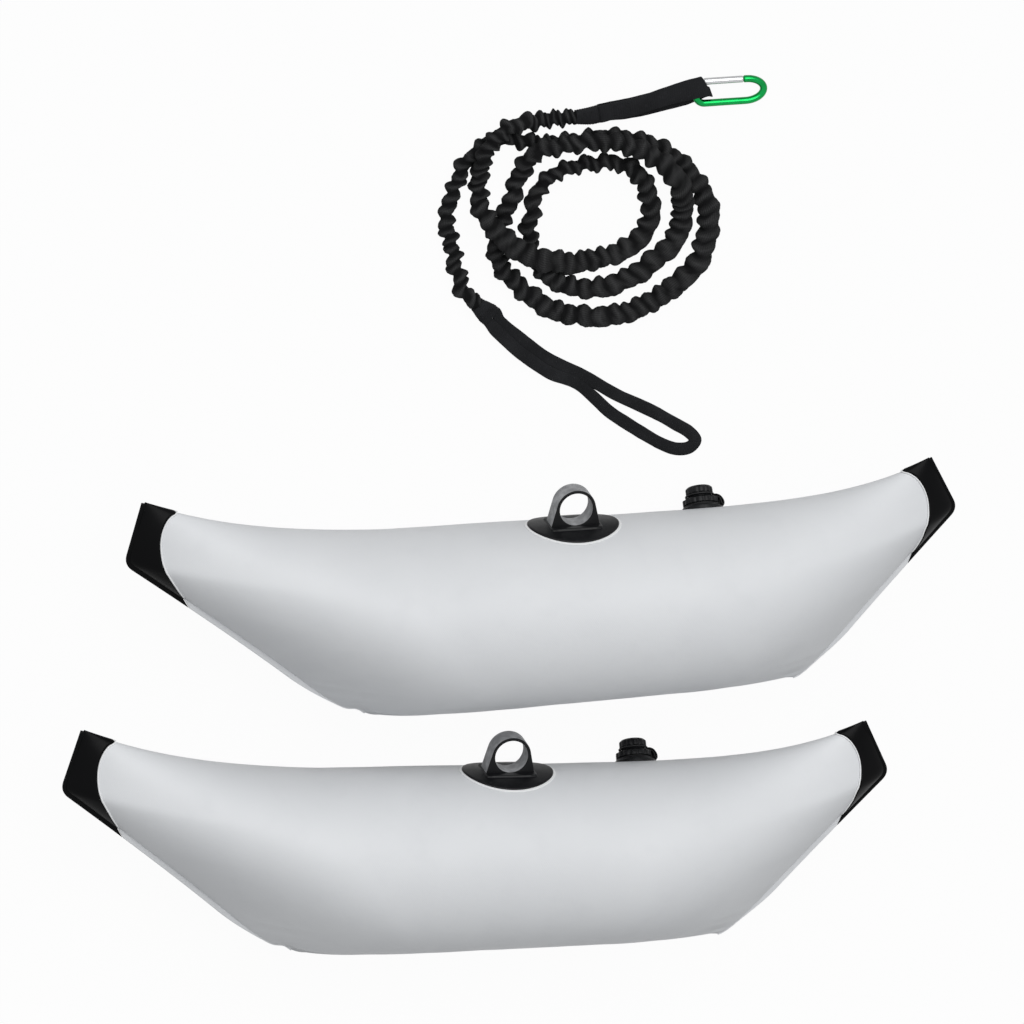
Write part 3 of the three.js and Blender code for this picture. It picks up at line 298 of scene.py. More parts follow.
class Wire:
    """A shader value. Arithmetic on it adds Math nodes."""

    __add__, __radd__ = overload("ADD"), overload("ADD", reflected=True)
    __sub__, __rsub__ = overload("SUBTRACT"), overload("SUBTRACT", reflected=True)
    __mul__, __rmul__ = overload("MULTIPLY"), overload("MULTIPLY", reflected=True)

    def __init__(self, nodes, socket):
        self.nodes, self.socket = nodes, socket


class Nodes:
    """Adds nodes to a tree. An input is given by its name, or by its number as i0, i1 and so on."""

    def __init__(self, tree):
        self.tree = tree

    def node(self, kind, settings=None, output=0, **inputs):
        node = self.tree.nodes.new(kind)
        for key, value in (settings or {}).items():
            setattr(node, key, value)
        for key, value in inputs.items():
            numbered = key[0] == "i" and key[1:].isdigit()
            self.feed(node.inputs[int(key[1:]) if numbered else key.replace("_", " ")], value)
        return Wire(self, node.outputs[output]) if len(node.outputs) else None

    def feed(self, socket, value):
        if isinstance(value, Wire):
            self.tree.links.new(value.socket, socket)
        elif socket.type == "RGBA" and len(value) == 3:
            socket.default_value = (*value, 1)
        else:
            socket.default_value = value

    def maths(self, operation, *values):
        inputs = {f"i{k}": value for k, value in enumerate(values)}
        return self.node("ShaderNodeMath", {"operation": operation}, **inputs)

    def rays(self):
        """Three values that are 1 for what is seen straight on, mirrored or through something, and else 0."""
        kinds = ("Camera", "Glossy", "Transmission")
        return [self.node("ShaderNodeLightPath", output=f"Is {kind} Ray") for kind in kinds]


class Finish(Nodes):
    """One material: a Principled shader, and the nodes that feed it."""

    def __init__(self, name, color, roughness, **fixed):
        self.material = bpy.data.materials.new(name)
        self.material.use_nodes = True
        super().__init__(self.material.node_tree)
        self.shader = self.tree.nodes["Principled BSDF"]
        self.shader.inputs["Base Color"].default_value = (*color, 1)
        self.shader.inputs["Roughness"].default_value = roughness
        for label, value in fixed.items():
            self.shader.inputs[label.replace("_", " ")].default_value = value
        self.place = self.node("ShaderNodeTexCoord", output="Object")
        self.cloth = self.node("ShaderNodeTexCoord", output="UV")

    def between(self, value, low, high):
        """Smoothly 0 at low and 1 at high."""
        settings = {"interpolation_type": "SMOOTHSTEP"}
        return self.node("ShaderNodeMapRange", settings, Value=value, From_Min=low, From_Max=high)

    def noise(self, scale, detail=3.0, place=None):
        """Cloudy values about 0.5, about scale clouds to a metre."""
        place = place or self.place
        return self.node("ShaderNodeTexNoise", Vector=place, Scale=scale, Detail=detail, Roughness=0.55)

    def mix(self, share, a, b):
        return self.node("ShaderNodeMix", {"data_type": "RGBA"}, output=2, i0=share, i6=a, i7=b)

    def axis(self, vector, k):
        return self.node("ShaderNodeSeparateXYZ", output=k, Vector=vector)

    def set(self, label, value):
        self.feed(self.shader.inputs[label], value)
        return self

    def bump(self, height, depth):
        """depth is in metres, for a height from 0 to 1."""
        return self.set("Normal", self.node("ShaderNodeBump", Strength=1.0, Distance=depth, Height=height))


def coated_cloth(name, color, roughness, tint, grain_depth, gloss=0.3):
    """Woven scrim under a smooth coating: a faint square weave, a fine grain, and slow changes of tone."""
    f = Finish(name, color, roughness, Specular_IOR_Level=gloss)
    x, y, z = (f.axis(f.place, k) for k in range(3))
    weave = f.maths("SINE", x * 2600) * f.maths("SINE", (y + z) * 2600)
    grain = f.noise(1500, 3)
    cloud = f.noise(9, 2)
    smudge = f.between(f.noise(34, 4), 0.5, 0.75)
    f.set("Base Color", f.mix(f.between(cloud, 0.3, 0.7) * 0.5 + smudge * 0.25, color, tint))
    f.set("Roughness", roughness + (cloud - 0.5) * 0.16 + smudge * 0.06)
    return f.bump(weave * 0.2 + grain + f.noise(60, 2) * 1.5, grain_depth).material


def moulded(name, color, roughness):
    """Spark-eroded moulded plastic: fine grain, slightly uneven gloss and a few rubbed places."""
    f = Finish(name, color, roughness, Specular_IOR_Level=0.15)
    grain = f.noise(2600, 2)
    rub = f.between(f.noise(140, 5), 0.58, 0.72)
    f.set("Base Color", f.mix(rub * 0.5, color, tuple(c * 1.9 + 0.01 for c in color)))
    f.set("Roughness", roughness + (f.noise(90, 3) - 0.5) * 0.2 + rub * 0.08)
    return f.bump(grain + f.noise(300, 2), 0.00004).material


def ring_with_painted_lit_walls():
    """The ring's moulding: polished black end faces, which lie level, and rough walls between, painted paler
    grey as painted light from above.
    """
    f = Finish("moulding_with_painted_lit_walls", (0.004, 0.0042, 0.005), 0.36, Specular_IOR_Level=0.15)
    middle = float_half_depth * metre
    # Painted light: the walls are painted pale grey where light from above would fall on them, and only the
    # level end faces keep the moulding's black. rub varies that painted lightness at random.
    face = f.between(f.maths("ABSOLUTE", f.axis(f.place, 2) - middle), 0.0103, 0.0109)
    rub = f.between(f.noise(110, 5), 0.35, 0.75)
    painted_lit_wall = f.mix(rub, (0.26, 0.263, 0.272), (0.46, 0.464, 0.475))
    f.set("Base Color", f.mix(face, painted_lit_wall, (0.0045, 0.0047, 0.0055)))
    f.set("Roughness", 0.5 - face * 0.14 + rub * 0.08)
    return f.bump(f.noise(2600, 2) + f.noise(300, 2), 0.00004).material


def soft_rubber(name, color):
    """Dull rubber with a bloom that pales it unevenly."""
    f = Finish(name, color, 0.62, Specular_IOR_Level=0.3)
    bloom = f.between(f.noise(75, 4), 0.45, 0.75)
    f.set("Base Color", f.mix(bloom * 0.5, color, tuple(c + 0.012 for c in color)))
    f.set("Roughness", 0.6 + bloom * 0.14)
    return f.bump(f.noise(1800, 2), 0.00005).material


def woven(name, color, pitch, depth, rib=1.0, with_painted_fold_shade=False):
    """Threads that pass over and under: rows across u and columns along v, half a pitch apart in turn.
    With painted fold shade, the cloth is paler by that layer's u, which is 0 in a fold's hollow and 1 on its
    ridge: painted shade in the hollows and a painted highlight on the ridges."""
    f = Finish(name, color, 0.86, Specular_IOR_Level=0.12)
    u, v = f.axis(f.cloth, 0), f.axis(f.cloth, 1)
    wave = np.pi / pitch
    over = f.maths("SINE", u * wave) * f.maths("SINE", v * wave)
    thread = f.maths("ABSOLUTE", over)
    ribs = f.maths("ABSOLUTE", f.maths("SINE", u * (wave * 0.5)))
    fuzz = f.noise(2400, 3)
    patch = f.between(f.noise(26, 4), 0.35, 0.72)
    worn = f.between(f.noise(210, 3), 0.55, 0.8)
    pale = tuple(c * 2.4 + 0.006 for c in color)
    tone = patch * 0.35 + worn * 0.3 + thread * 0.3
    if with_painted_fold_shade:
        # Painted light: this layer darkens the cloth in the fold hollows and towards the strand's sides, and
        # pales it along the crests as a painted highlight.
        ridge = f.axis(f.node("ShaderNodeUVMap", {"uv_map": "ridge"}), 0)
        tone = ridge * (0.1 + tone * 0.9 + thread * 0.75 + fuzz * 0.4)
        # A paler colour for the painted highlights on the crests.
        pale = tuple(c * 2.4 + 0.036 for c in color)
    f.set("Base Color", f.mix(tone, color, pale))
    f.set("Roughness", 0.8 + fuzz * 0.15)
    return f.bump(thread * 0.6 + ribs * rib + fuzz * 0.5, depth).material


def bright_metal(name, color, roughness):
    """Drawn and polished metal: fine streaks, with a soft unevenness of gloss."""
    f = Finish(name, color, roughness, Metallic=1.0)
    stretched = f.node("ShaderNodeMapping", Vector=f.place, Scale=(3000, 3000, 120))
    lines = f.noise(1.0, 2, stretched)
    f.set("Roughness", roughness + (lines - 0.5) * 0.12 + f.between(f.noise(180, 3), 0.5, 0.8) * 0.08)
    dull = f.between(f.noise(60, 3), 0.3, 0.8) * 0.4
    f.set("Base Color", f.mix(dull, color, tuple(c * 0.82 for c in color)))
    return f.bump(lines, 0.00001).material


def anodised(name, color, deep):
    """Dyed oxide over polished metal: clear coat, and a deeper tone in soft clouds."""
    f = Finish(name, color, 0.2, Metallic=0.95, Coat_Weight=0.12, Coat_Roughness=0.08)
    f.set("Base Color", f.mix(f.between(f.noise(70, 3), 0.3, 0.75), color, deep))
    f.set("Roughness", 0.17 + f.noise(320, 3) * 0.12)
    return f.bump(f.noise(900, 2), 0.000015).material


deep_black = (0.0018, 0.0019, 0.0022)

grey_vinyl = coated_cloth("grey_vinyl", (0.70, 0.712, 0.728), 0.46, (0.66, 0.672, 0.69), 0.00009)
black_vinyl = coated_cloth("black_vinyl", deep_black, 0.3, (0.003, 0.0031, 0.0035), 0.00004, gloss=0.055)
weld_film = coated_cloth("weld_film", (0.86, 0.865, 0.87), 0.3, (0.8, 0.805, 0.81), 0.00004)
black_moulding = moulded("black_moulding", (0.006, 0.0063, 0.0072), 0.36)
ring_moulding_painted_light = ring_with_painted_lit_walls()
black_rubber = soft_rubber("soft_rubber", (0.006, 0.0062, 0.007))
cord_rubber = soft_rubber("elastic_rubber", (0.05, 0.045, 0.04))
black_cloth = woven("black_cloth", deep_black, 0.0021, 0.00026, rib=0.5, with_painted_fold_shade=True)
black_webbing = woven("black_webbing", (0.0085, 0.0088, 0.0098), 0.0013, 0.0002)
thread = woven("stitch_thread", (0.0105, 0.0107, 0.0118), 0.0004, 0.00006, rib=0.4)
green_anodising = anodised("green_anodising", (0.003, 0.32, 0.066), (0.0022, 0.25, 0.05))
steel = bright_metal("bright_metal", (0.55, 0.555, 0.565), 0.2)


# Float: the tube, its seams and the caps on its tips

float_radius = 105.0
seam_width = 6.0
seam_overlap = 1.0
crimp_share = 0.284
crimp_power = 0.75
cad_ring_sides = 22
left_rise = (-171.9, 1.92)  # the x at which the top line starts to rise, and the power
right_rise = (106.0, 3.05)
bottom_ends = (-106.4, -90.5)  # y at the left and at the right foot
left_foot, right_foot = (-217.0, -116.5), (301.9, -99.8)
bottom_run = np.array([right_foot[0] - left_foot[0], bottom_ends[1] - bottom_ends[0]])
bottom_run /= np.linalg.norm(bottom_run)
fit_gap = 0.35
flat_face_angle = turn * round(cad_ring_sides / 4 - 0.5) / cad_ring_sides
full_depth = float_half_depth / math.sin(flat_face_angle)
tip_round = 12.0
cap_crease_share = 0.6
spline_weight = 20.0
valve_angle, valve_share = -np.radians(38), 0.737
float_places = {"a": (-23.1, -383.4, -0.9), "b": (35.5, -92.6, 1.96)}  # x, y and degrees


class Seam:
    """The outer edge of a tip's seam: straight from the corner, round at the tip, bowed down towards the
    foot, and round into the bottom line. run and lead are how far from the foot that curve starts and ends.
    The cap line is the edge of the tip's cap: degrees round the tube, and thousandths of its length."""

    def __init__(self, sign, corner, tip, foot, bow, run, lead, cap_line):
        self.sign, self.cap_line = sign, cap_line
        corner, tip, foot = (np.array(p, float) for p in (corner, tip, foot))
        along = unit(foot - tip)
        bowed = (tip + foot) / 2 + 2 * bow * sign * np.array([along[1], -along[0]])
        before, after = (tip + tip_round * unit(p - tip) for p in (corner, bowed))
        above, inside = foot + run * unit(bowed - foot), foot - lead * sign * bottom_run
        t = np.linspace(0, 1, 200)[:, None]
        quad = lambda a, b, c: (1 - t) ** 2 * a + 2 * t * (1 - t) * b + t ** 2 * c
        line = np.concatenate([corner + (before - corner) * t, quad(before, tip, after)[1:],
                               quad(after, bowed, above)[1:], quad(above, foot, inside)[1:]])
        length = lengths(line)
        self.share, self.line = length / length[-1], line
        self.tangent = unit(np.gradient(line, length, axis=0))
        self.length = length[-1]

    def point(self, share, inset=0.0):
        """The edge at a share of its length, moved inwards by inset."""
        at = lambda table, k: np.interp(share, self.share, table[:, k])
        x, y, tx, ty = at(self.line, 0), at(self.line, 1), at(self.tangent, 0), at(self.tangent, 1)
        size = np.hypot(tx, ty)
        return np.stack([x + inset * self.sign * ty / size, y - inset * self.sign * tx / size], -1)

    def cap_edge(self, count):
        """Angles from foot to foot over the back, the top and the front, and the shares of the float's length
        at the cap's edge there. The spline weighs a thousandth about as much as a degree."""
        rows = np.array([(math.radians(d), spline_weight * s / 1000, 0.0) for d, s in self.cap_line])
        half, _ = spline(rows, count=count // 2 + 1)
        theta = np.concatenate([-half[:0:-1, 0], half[:, 0]])
        reach = np.concatenate([half[:0:-1, 1], half[:, 1]]) / spline_weight
        return theta, reach if self.sign < 0 else 1 - reach

    def cap_foot(self):
        """The share of the seam at which the cap's edge meets it."""
        return (1 - math.cos(math.radians(self.cap_line[-1][0]))) / 2


left = Seam(-1, (-465.3, 162.8), (-482.8, 90.9), left_foot, 2.5, 76.6, 14.4,
            [(0, 38.8), (6.8, 36.9), (14, 30.4), (20, 26.3), (26, 23.4), (30.2, 22.2), (34.6, 22),
             (38.4, 22.7), (42.4, 24.4), (45.8, 26.3), (49.1, 27.2), (52.8, 25.2), (56.6, 21.3),
             (62.2, 15), (67.9, 8), (74, 0.6)])
right = Seam(1, (435.3, 158.3), (468.1, 96.2), right_foot, 1.2, 63.9, 14.3,
             [(0, 32.5), (6.3, 30.2), (12, 26.2), (17.6, 22.9), (24, 19.8), (29, 18.4), (34.1, 17.8),
              (38.4, 18.2), (42.1, 19.4), (45.5, 21.2), (49, 23.6), (53.2, 25.6), (57.9, 24.3),
              (62.1, 20.5), (67.6, 13.9), (72.7, 8.1), (79.5, 0.6)])


def top_line(share):
    """A straight line at the tube's radius that rises to the corners as a power of the way there."""
    start, end = left.point(0.0, seam_width), right.point(0.0, seam_width)
    x = start[0] + (end[0] - start[0]) * share
    to_left = np.maximum(0, (x - left_rise[0]) / (start[0] - left_rise[0]))
    to_right = np.maximum(0, (x - right_rise[0]) / (end[0] - right_rise[0]))
    left_lift = (start[1] - float_radius) * to_left ** left_rise[1]
    right_lift = (end[1] - float_radius) * to_right ** right_rise[1]
    return np.stack([x, float_radius + (left_lift + right_lift)], -1)


def bottom_line(share):
    """Straight from foot to foot."""
    start, end = left.point(1.0, seam_width), right.point(1.0, seam_width)
    x = start[0] + (end[0] - start[0]) * share
    return np.stack([x, bottom_ends[0] + (bottom_ends[1] - bottom_ends[0]) * share + 0 * x], -1)


def float_point(share, angle, offset=0.0):
    """The tube's surface, moved out by offset. It lies (1 − cos angle) / 2 of the way from the top line to
    the bottom line, and sin(angle) times the half depth away from the middle plane. Near a tip, the half
    depth is sin(π/2 · s)^0.75 of the full one, with s the share of the crimped length, and the lines bend
    to follow the seam."""
    share, angle, offset = np.broadcast_arrays(np.asarray(share, float), angle, offset)
    across = (1 - np.cos(angle)) / 2
    ruled = lambda s: top_line(s) + (bottom_line(s) - top_line(s)) * across[..., None]
    flat = ruled(share)
    for seam, end in ((left, 0.0), (right, 1.0)):
        near = np.maximum(0, 1 - np.abs(share - end) / crimp_share)[..., None] ** 2
        edge = seam.point(across, seam_width)
        outward = seam.point(across, -1.0) - seam.point(across, 0.0)
        flat = flat + near * (edge - ruled(end + 0 * share) + outward * offset[..., None])
    fullness = np.sin(np.pi / 2 * np.minimum(1, np.minimum(share, 1 - share) / crimp_share)) ** crimp_power
    depth = full_depth * fullness + offset
    return np.stack([flat[..., 0], flat[..., 1] + offset * np.cos(angle), depth * np.sin(angle)], -1)


def creases(share, angle):
    """Puckers that run in from the crimped seams: waves round the tube, as deep as r · e^(1 − r), with r the
    share from the tip over 0.035. They are deeper at the foot, where the cloth is gathered."""
    end = np.minimum(share, 1 - share)
    side = np.where(share < 0.5, 0.0, 2.1)
    reach = (end / 0.035) * np.exp(1 - end / 0.035)
    fine = waves(9 * angle + side + 6 * end, 11, 3)
    foot = ((1 - np.cos(angle)) / 2) ** 5
    gathered = np.abs(waves(15 * angle + 3 * side, 12, 2)) * foot
    slack = waves(3 * angle + 30 * share, 13, 2) * smoothstep(0, 0.2, end) * 0.25
    return -0.35 * reach * (0.5 + 0.5 * fine) - 3.2 * reach * gathered - slack


def tucked(points):
    """The cloth is gathered at the left foot, and drawn up by a broad and a narrow bell of the distance."""
    for x, y, rise, width in ((-214, -106, 3.2, 24), (-210.5, -106, 6.4, 8.5)):
        away = (points[..., 0] - x) ** 2 + (points[..., 1] - y) ** 2
        points[..., 1] += rise * np.exp(-away / (2 * width ** 2))
    return points


def flattened(points):
    """Nothing lies lower than the floor."""
    points[..., 2] = np.maximum(points[..., 2], -float_half_depth)
    return points


def lip(seam, first, last, half_thickness, steps, inner, slant_first=0.0, slant_last=0.0):
    """A strip along the seam with a rounded outer edge, from its outer edge to its overlap with the tube.
    Its ends may lie askew: each is moved along the seam by its slant for the strip's whole width.
    Towards the foot of the float its outer edge is drawn in, by a millimetre less than the seam's width."""
    way = np.linspace(0, 1, steps)[:, None]
    section = soft_rectangle(inner / 2, half_thickness, 12, 3.5)
    inset = (inner / 2 - section[:, 0])[None, :]
    slant = slant_first * (1 - way) + slant_last * way
    share = first + (last - first) * way + slant * inset / inner / seam.length
    drawn_in = (seam_width - 1.0) * smoothstep(0.74, 0.92, share) * (1 - inset / inner)
    flat = seam.point(np.minimum(share, 1), inset + drawn_in)
    z = section[:, 1][None, :] + 0 * share
    return tucked(np.concatenate([flat, z[..., None]], -1))


def valve_frame():
    """The valve's origin on the surface, and its axes: X along the tube and Z square to the surface."""
    step = 1e-3
    point = float_point(valve_share, valve_angle)
    along = unit(float_point(valve_share + step, valve_angle) - point)
    around = unit(float_point(valve_share, valve_angle - step) - point)
    axis = unit(np.cross(along, around))
    axis = axis if axis[1] > 0 else -axis
    return point, along, np.cross(axis, along), axis


valve_at, valve_x, valve_y, valve_z = valve_frame()


def on_valve(points):
    """From the valve's own frame to the float's."""
    return valve_at + points[..., :1] * valve_x + points[..., 1:2] * valve_y + points[..., 2:] * valve_z


def tube_grid():
    """Stations closer together towards the tips: share = (1 − cos πt) / 2."""
    share = (1 - np.cos(np.pi * np.linspace(0, 1, 210))) / 2
    angle = np.arange(120) * turn / 120
    s, a = np.meshgrid(share, angle, indexing="ij")
    points = flattened(float_point(s, a, creases(s, a)))
    points[0], points[-1] = float_point(s[0], a[0]), float_point(s[-1], a[-1])
    return tucked(points)


def on_float(k, points):
    """From a float's own frame, whose z is 0 in its middle plane, to its place on the floor."""
    x, y, degrees = float_places[k]
    return put(points, x, y, float_half_depth, degrees)


def add_cap(k, seam, word):
    """A shell over the tip that thins at its edge, its lip along the seam, and a weld line on each side of
    the lip. The pale bead lies along the shell's edge."""
    there = lambda points: on_float(k, points)
    theta, edge = seam.cap_edge(121)
    end = 0.0 if seam.sign < 0 else 1.0
    way = np.r_[0, np.linspace(0.02, 1, 40) ** 1.3]
    s = end + (edge[:, None] - end) * way[None, :]
    angle = theta[:, None] + 0 * s
    shape = creases(s, angle) * cap_crease_share
    thick = 1.95 - 1.5 * smoothstep(0.965, 1.0, way)[None, :]
    outer, inner = float_point(s, angle, shape + thick), float_point(s, angle, shape + 0.3)
    cap = Surface().grid(there(np.concatenate([outer, inner[:, ::-1]], 1)))
    lip_end = seam.cap_foot() + 13 / seam.length
    cap.grid(there(lip(seam, 0.0, lip_end, 1.5, 70, seam_width - 0.4, slant_last=-14)))
    run = seam.point(np.linspace(0.015, seam.cap_foot(), 80), seam_width - 1.1)
    for side in (-1.55, 1.55):
        weld = np.concatenate([run, np.full((len(run), 1), side)], 1)
        cap.grid(there(swept(weld, *strand_axes(weld)[1:], soft_rectangle(0.8, 0.7, 8, 2.0))))
    cap.piece(f"tip_cap_{word}_{k}", "root", "black_vinyl", black_vinyl, [f"end_cap_{word}_{k}"])
    line = float_point(edge, theta, creases(edge, theta) * cap_crease_share + 0.5)
    out = unit(float_point(edge, theta, 3.0) - line)
    side = unit(np.cross(unit(np.gradient(line, axis=0)), out))
    bead = swept(line + 0.5 * seam.sign * side, side, out, soft_rectangle(1.05, 0.7, 10, 2.2))
    Surface().grid(there(bead)).piece(f"cap_bead_{word}_{k}", "root", "weld_film", weld_film)


def add_float(k):
    """The tube with a strip along each seam from the cap down to the foot, and its two caps."""
    skin = Surface().grid(on_float(k, tube_grid()), close=False)
    for seam in (left, right):
        start = seam.cap_foot() + 14 / seam.length
        strip = lip(seam, start, 1.0, 0.8, 90, seam_width + seam_overlap, slant_first=-17)
        skin.grid(on_float(k, strip))
    skin.piece(f"float_tube_{k}", "root", "grey_vinyl", grey_vinyl, [f"float_skin_{k}"])
    add_cap(k, left, "left")
    add_cap(k, right, "right")


# Arm ring on its flange

ring_x = 27.0
bore_radius = 18.75
ring_wall = 3.55
ring_radius = bore_radius + ring_wall
ring_half_depth = 11.25
flange_thickness = 1.75
patch_thickness = 0.6
ring_y = float_radius + 2 * fit_gap + patch_thickness + flange_thickness + bore_radius + fit_gap
base_y = ring_y - bore_radius - ring_wall / 2
base_half = 28.0
base_drop = 3.0
bore_edge = 0.7


def tube_top(x, z, offset):
    """The tube's surface over its full middle, from X and Z: sin angle = z / depth, and the share is linear
    in X there."""
    angle = np.arcsin(np.clip(z / full_depth, -1, 1))
    across = (1 - np.cos(angle)) / 2
    ends = np.array([0.0, 1.0])
    top, bottom = top_line(ends)[:, 0], bottom_line(ends)[:, 0]
    low, high = ((1 - across) * top[end] + across * bottom[end] for end in (0, 1))
    share = (x - low) / (high - low)
    y = (1 - across) * top_line(share)[..., 1] + across * bottom_line(share)[..., 1]
    return np.stack([x + 0 * y, y + offset * np.cos(angle), z + offset * np.sin(angle) + 0 * y], -1)


def oval_plate(half_length, half_width, low, thickness, edge):
    """An oval sheet that lies on the tube: rings out over its underside, round its rim and over its top."""
    angle = np.arange(96) * turn / 96
    profile = [(1.0, low)]
    for t in np.linspace(0, np.pi / 2, 5):
        profile.append((1 - (1 - np.cos(t)) * edge / half_width, low + thickness - edge * (1 - np.sin(t))))
    profile += [(r, low + thickness) for r in (0.93, 0.8, 0.6, 0.4, 0.2, 0.0)]
    rows = [(r, low) for r in (0.0, 0.3, 0.6, 0.85)] + profile
    r, h = (np.array([row[k] for row in rows])[:, None] for k in (0, 1))
    return tube_top(ring_x + r * half_length * np.cos(angle), r * half_width * np.sin(angle), h)


def block_outline(count):
    """The ring's outline: a round top, and straight sides that touch it and stand on the base's corners."""
    drop = ring_y - base_y
    touch = math.atan2(-drop, base_half) + math.acos(ring_radius / math.hypot(base_half, drop))
    arc = np.linspace(touch, np.pi - touch, 60)
    arc = np.stack([ring_radius * np.cos(arc), ring_y + ring_radius * np.sin(arc)], -1)
    low = base_y - base_drop
    foot = [(-base_half, base_y), (-base_half, low), (base_half, low), (base_half, base_y)]
    line = np.concatenate([arc, np.array(foot), arc[:1]])
    length = lengths(line)
    even = np.linspace(0, length[-1], count, endpoint=False)
    return np.stack([np.interp(even, length, line[:, k]) for k in (0, 1)], -1)


def ring_block():
    """Rings round the bore: out over the faces and edges from the bore's wall to the outline, and back."""
    outline = block_outline(220)
    centre = np.array([0, ring_y])
    spoke = unit(outline - centre)
    tangent = unit(np.roll(outline, -1, 0) - np.roll(outline, 1, 0))
    normal = np.stack([tangent[:, 1], -tangent[:, 0]], -1)
    normal *= np.sign(np.sum(normal * spoke, 1, keepdims=True))
    corner = [(1 - math.cos(t), 1 - math.sin(t)) for t in np.linspace(0, np.pi / 2, 5)]
    front = [(centre + spoke * (bore_radius + bore_edge * away), ring_half_depth - bore_edge * down)
             for away, down in corner]
    front += [((front[-1][0] + outline - normal) / 2, ring_half_depth)]
    front += [(outline - normal * away, ring_half_depth - down) for away, down in corner[::-1]]
    rows = front + [(p, -z) for p, z in front[::-1]]
    return np.stack([np.concatenate([p, np.full((len(p), 1), z)], 1) for p, z in rows]) + [ring_x, 0, 0]


def ring_foot():
    """A plinth under the bore that stands out before and behind the block and widens down to the flange."""
    y = base_y + np.array([1.6, 1.5, 1.1, -1.0, -4.0, -8.0])
    length = base_half + np.array([-0.4, 0.9, 1.4, 1.9, 3.5, 9.0])
    depth = ring_half_depth + np.array([6.0, 7.4, 7.9, 8.4, 9.6, 12.0])
    section = soft_rectangle(length, depth, 96, 14)
    return np.stack([section[..., 0] + ring_x, y[:, None] + 0 * section[..., 0], section[..., 1]], -1)


def add_arm_ring(k):
    """The pale patch, the flange with its plinth, and the ring."""
    patch = Surface().grid(on_float(k, oval_plate(54.2, 41.2, 0.15, 0.8, 0.4)), close=False)
    patch.piece(f"weld_patch_{k}", "root", "weld_film", weld_film, [f"ring_patch_{k}"])
    plate = oval_plate(51.5, 38.5, 0.9, flange_thickness + 0.1, 1.0)
    flange = Surface().grid(on_float(k, plate), close=False).grid(on_float(k, ring_foot()))
    flange.piece(f"ring_flange_{k}", "root", "black_moulding", black_moulding, sharp=38)
    ring = Surface().grid(on_float(k, ring_block()), wrap_rows=True)
    ring.piece(f"pole_ring_{k}", "root", "black_moulding", ring_moulding_painted_light, [f"arm_ring_{k}"], sharp=38)


# Air valve

def add_valve(k):
    """The seat in the skin, the plug with grips on its rim, and the screw cap with a groove and grips: each a
    turned profile."""
    there = lambda points: on_float(k, on_valve(points))
    base = rounded([(0, -4), (24.5, -6), (24.5, 1.6), (20.5, 3.2), (20.5, 5), (13.65, 5), (13.65, -18),
                    (0, -18)], 0.9)
    seat = Surface().grid(there(turned(base[:-1], 72)), close=False)
    seat.piece(f"valve_seat_{k}", "root", "black_moulding", black_moulding, [f"valve_base_{k}"], sharp=50)
    low, deck, spout = 6.5, 12.7, 23.7
    profile = rounded([(6.5, -13.9), (13.3, -13.9), (13.3, low), (20, low), (20, deck), (9, deck), (9, spout),
                       (6.5, spout)], 1.0, closed=True)
    grips = smoothstep(14, 19, profile[:, 0])
    plug = Surface().grid(there(turned(profile, 168, 14, 1.1, grips)), wrap_rows=True)
    plug.piece(f"plug_rim_{k}", f"plug_{k}", "black_moulding", black_moulding, [f"valve_plug_{k}"], sharp=50)
    cap_low, cap_top = 14.7, 27.7
    groove = cap_low + 1.2
    outside = rounded([
        (9.35, cap_low), (14.0, cap_low), (13.4, groove), (13.4, groove + 2.6), (15.2, groove + 3.1),
        (15.2, cap_top - 2.8), (12.6, cap_top - 0.5), (6, cap_top), (0.001, cap_top)], 0.8)
    hollow = np.array([(0.001, 24.1), (9.35, 24.1)])
    profile = np.concatenate([hollow, outside])
    grips = smoothstep(14, 15, profile[:, 0]) * smoothstep(groove + 2.7, groove + 3.3, profile[:, 1])
    cap = Surface().grid(there(turned(profile, 144, 12, 0.9, grips)), close=False)
    cap.piece(f"screw_cap_{k}", f"cap_{k}", "black_moulding", black_moulding, [f"valve_cap_{k}"], sharp=50)


tether_low, tether_high = 13.75, 17.1


def tether_band():
    """The strap from the lower loop out over the rim, round and back to the upper loop, wider at its bend."""
    points = [(10.5, 0, tether_low), (16, 0, tether_low), (19.8, 0, 13.3), (21.4, 0, 11), (21.9, 0, 8),
              (22.6, 0, 5.2), (24.3, 0, 4.6), (24.8, 0, 7.2), (23.8, 0, 11), (21.4, 0, 14.8), (18, 0, 16.8),
              (14.6, 0, tether_high)]
    path, at = spline(points, count=60)
    along = unit(np.gradient(path, axis=0))
    across = np.array([0.0, 1.0, 0.0]) + 0 * path
    swell = np.sin(np.pi * at / at[-1])
    section = soft_rectangle(4.6 + 3.4 * swell, 0.65 + 0.4 * swell, 28, 3.0)
    return swept(path, across, np.cross(along, across), section)


def add_tether(k):
    """Rubber that stretches as the cap is screwed off: its lower loop stays on the plug, the upper rises."""
    there = lambda points: on_float(k, on_valve(points))
    lower = rounded([(9.4, 13.1), (12.8, 13.1), (12.8, 14.35), (9.4, 14.35)], 0.5, closed=True)
    upper = rounded([(13.8, 16.3), (16.4, 16.3), (16.4, 17.9), (13.8, 17.9)], 0.6, closed=True)
    band = Surface().grid(there(turned(lower, 72)), wrap_rows=True)
    band.grid(there(turned(upper, 72)), wrap_rows=True)
    band.grid(there(tether_band()))
    replaced = [f"cap_tether_{k}", f"tether_ring_{k}"]
    tether = band.piece(f"rubber_tether_{k}", None, "soft_rubber", black_rubber, replaced)
    start, end = there(np.array([[0.0, 0, 14.4], [0, 0, 16.2]])) * metre
    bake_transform(tether, f"plug_{k}", f"cap_loop_{k}", start=tuple(start), end=tuple(end))


# Leash

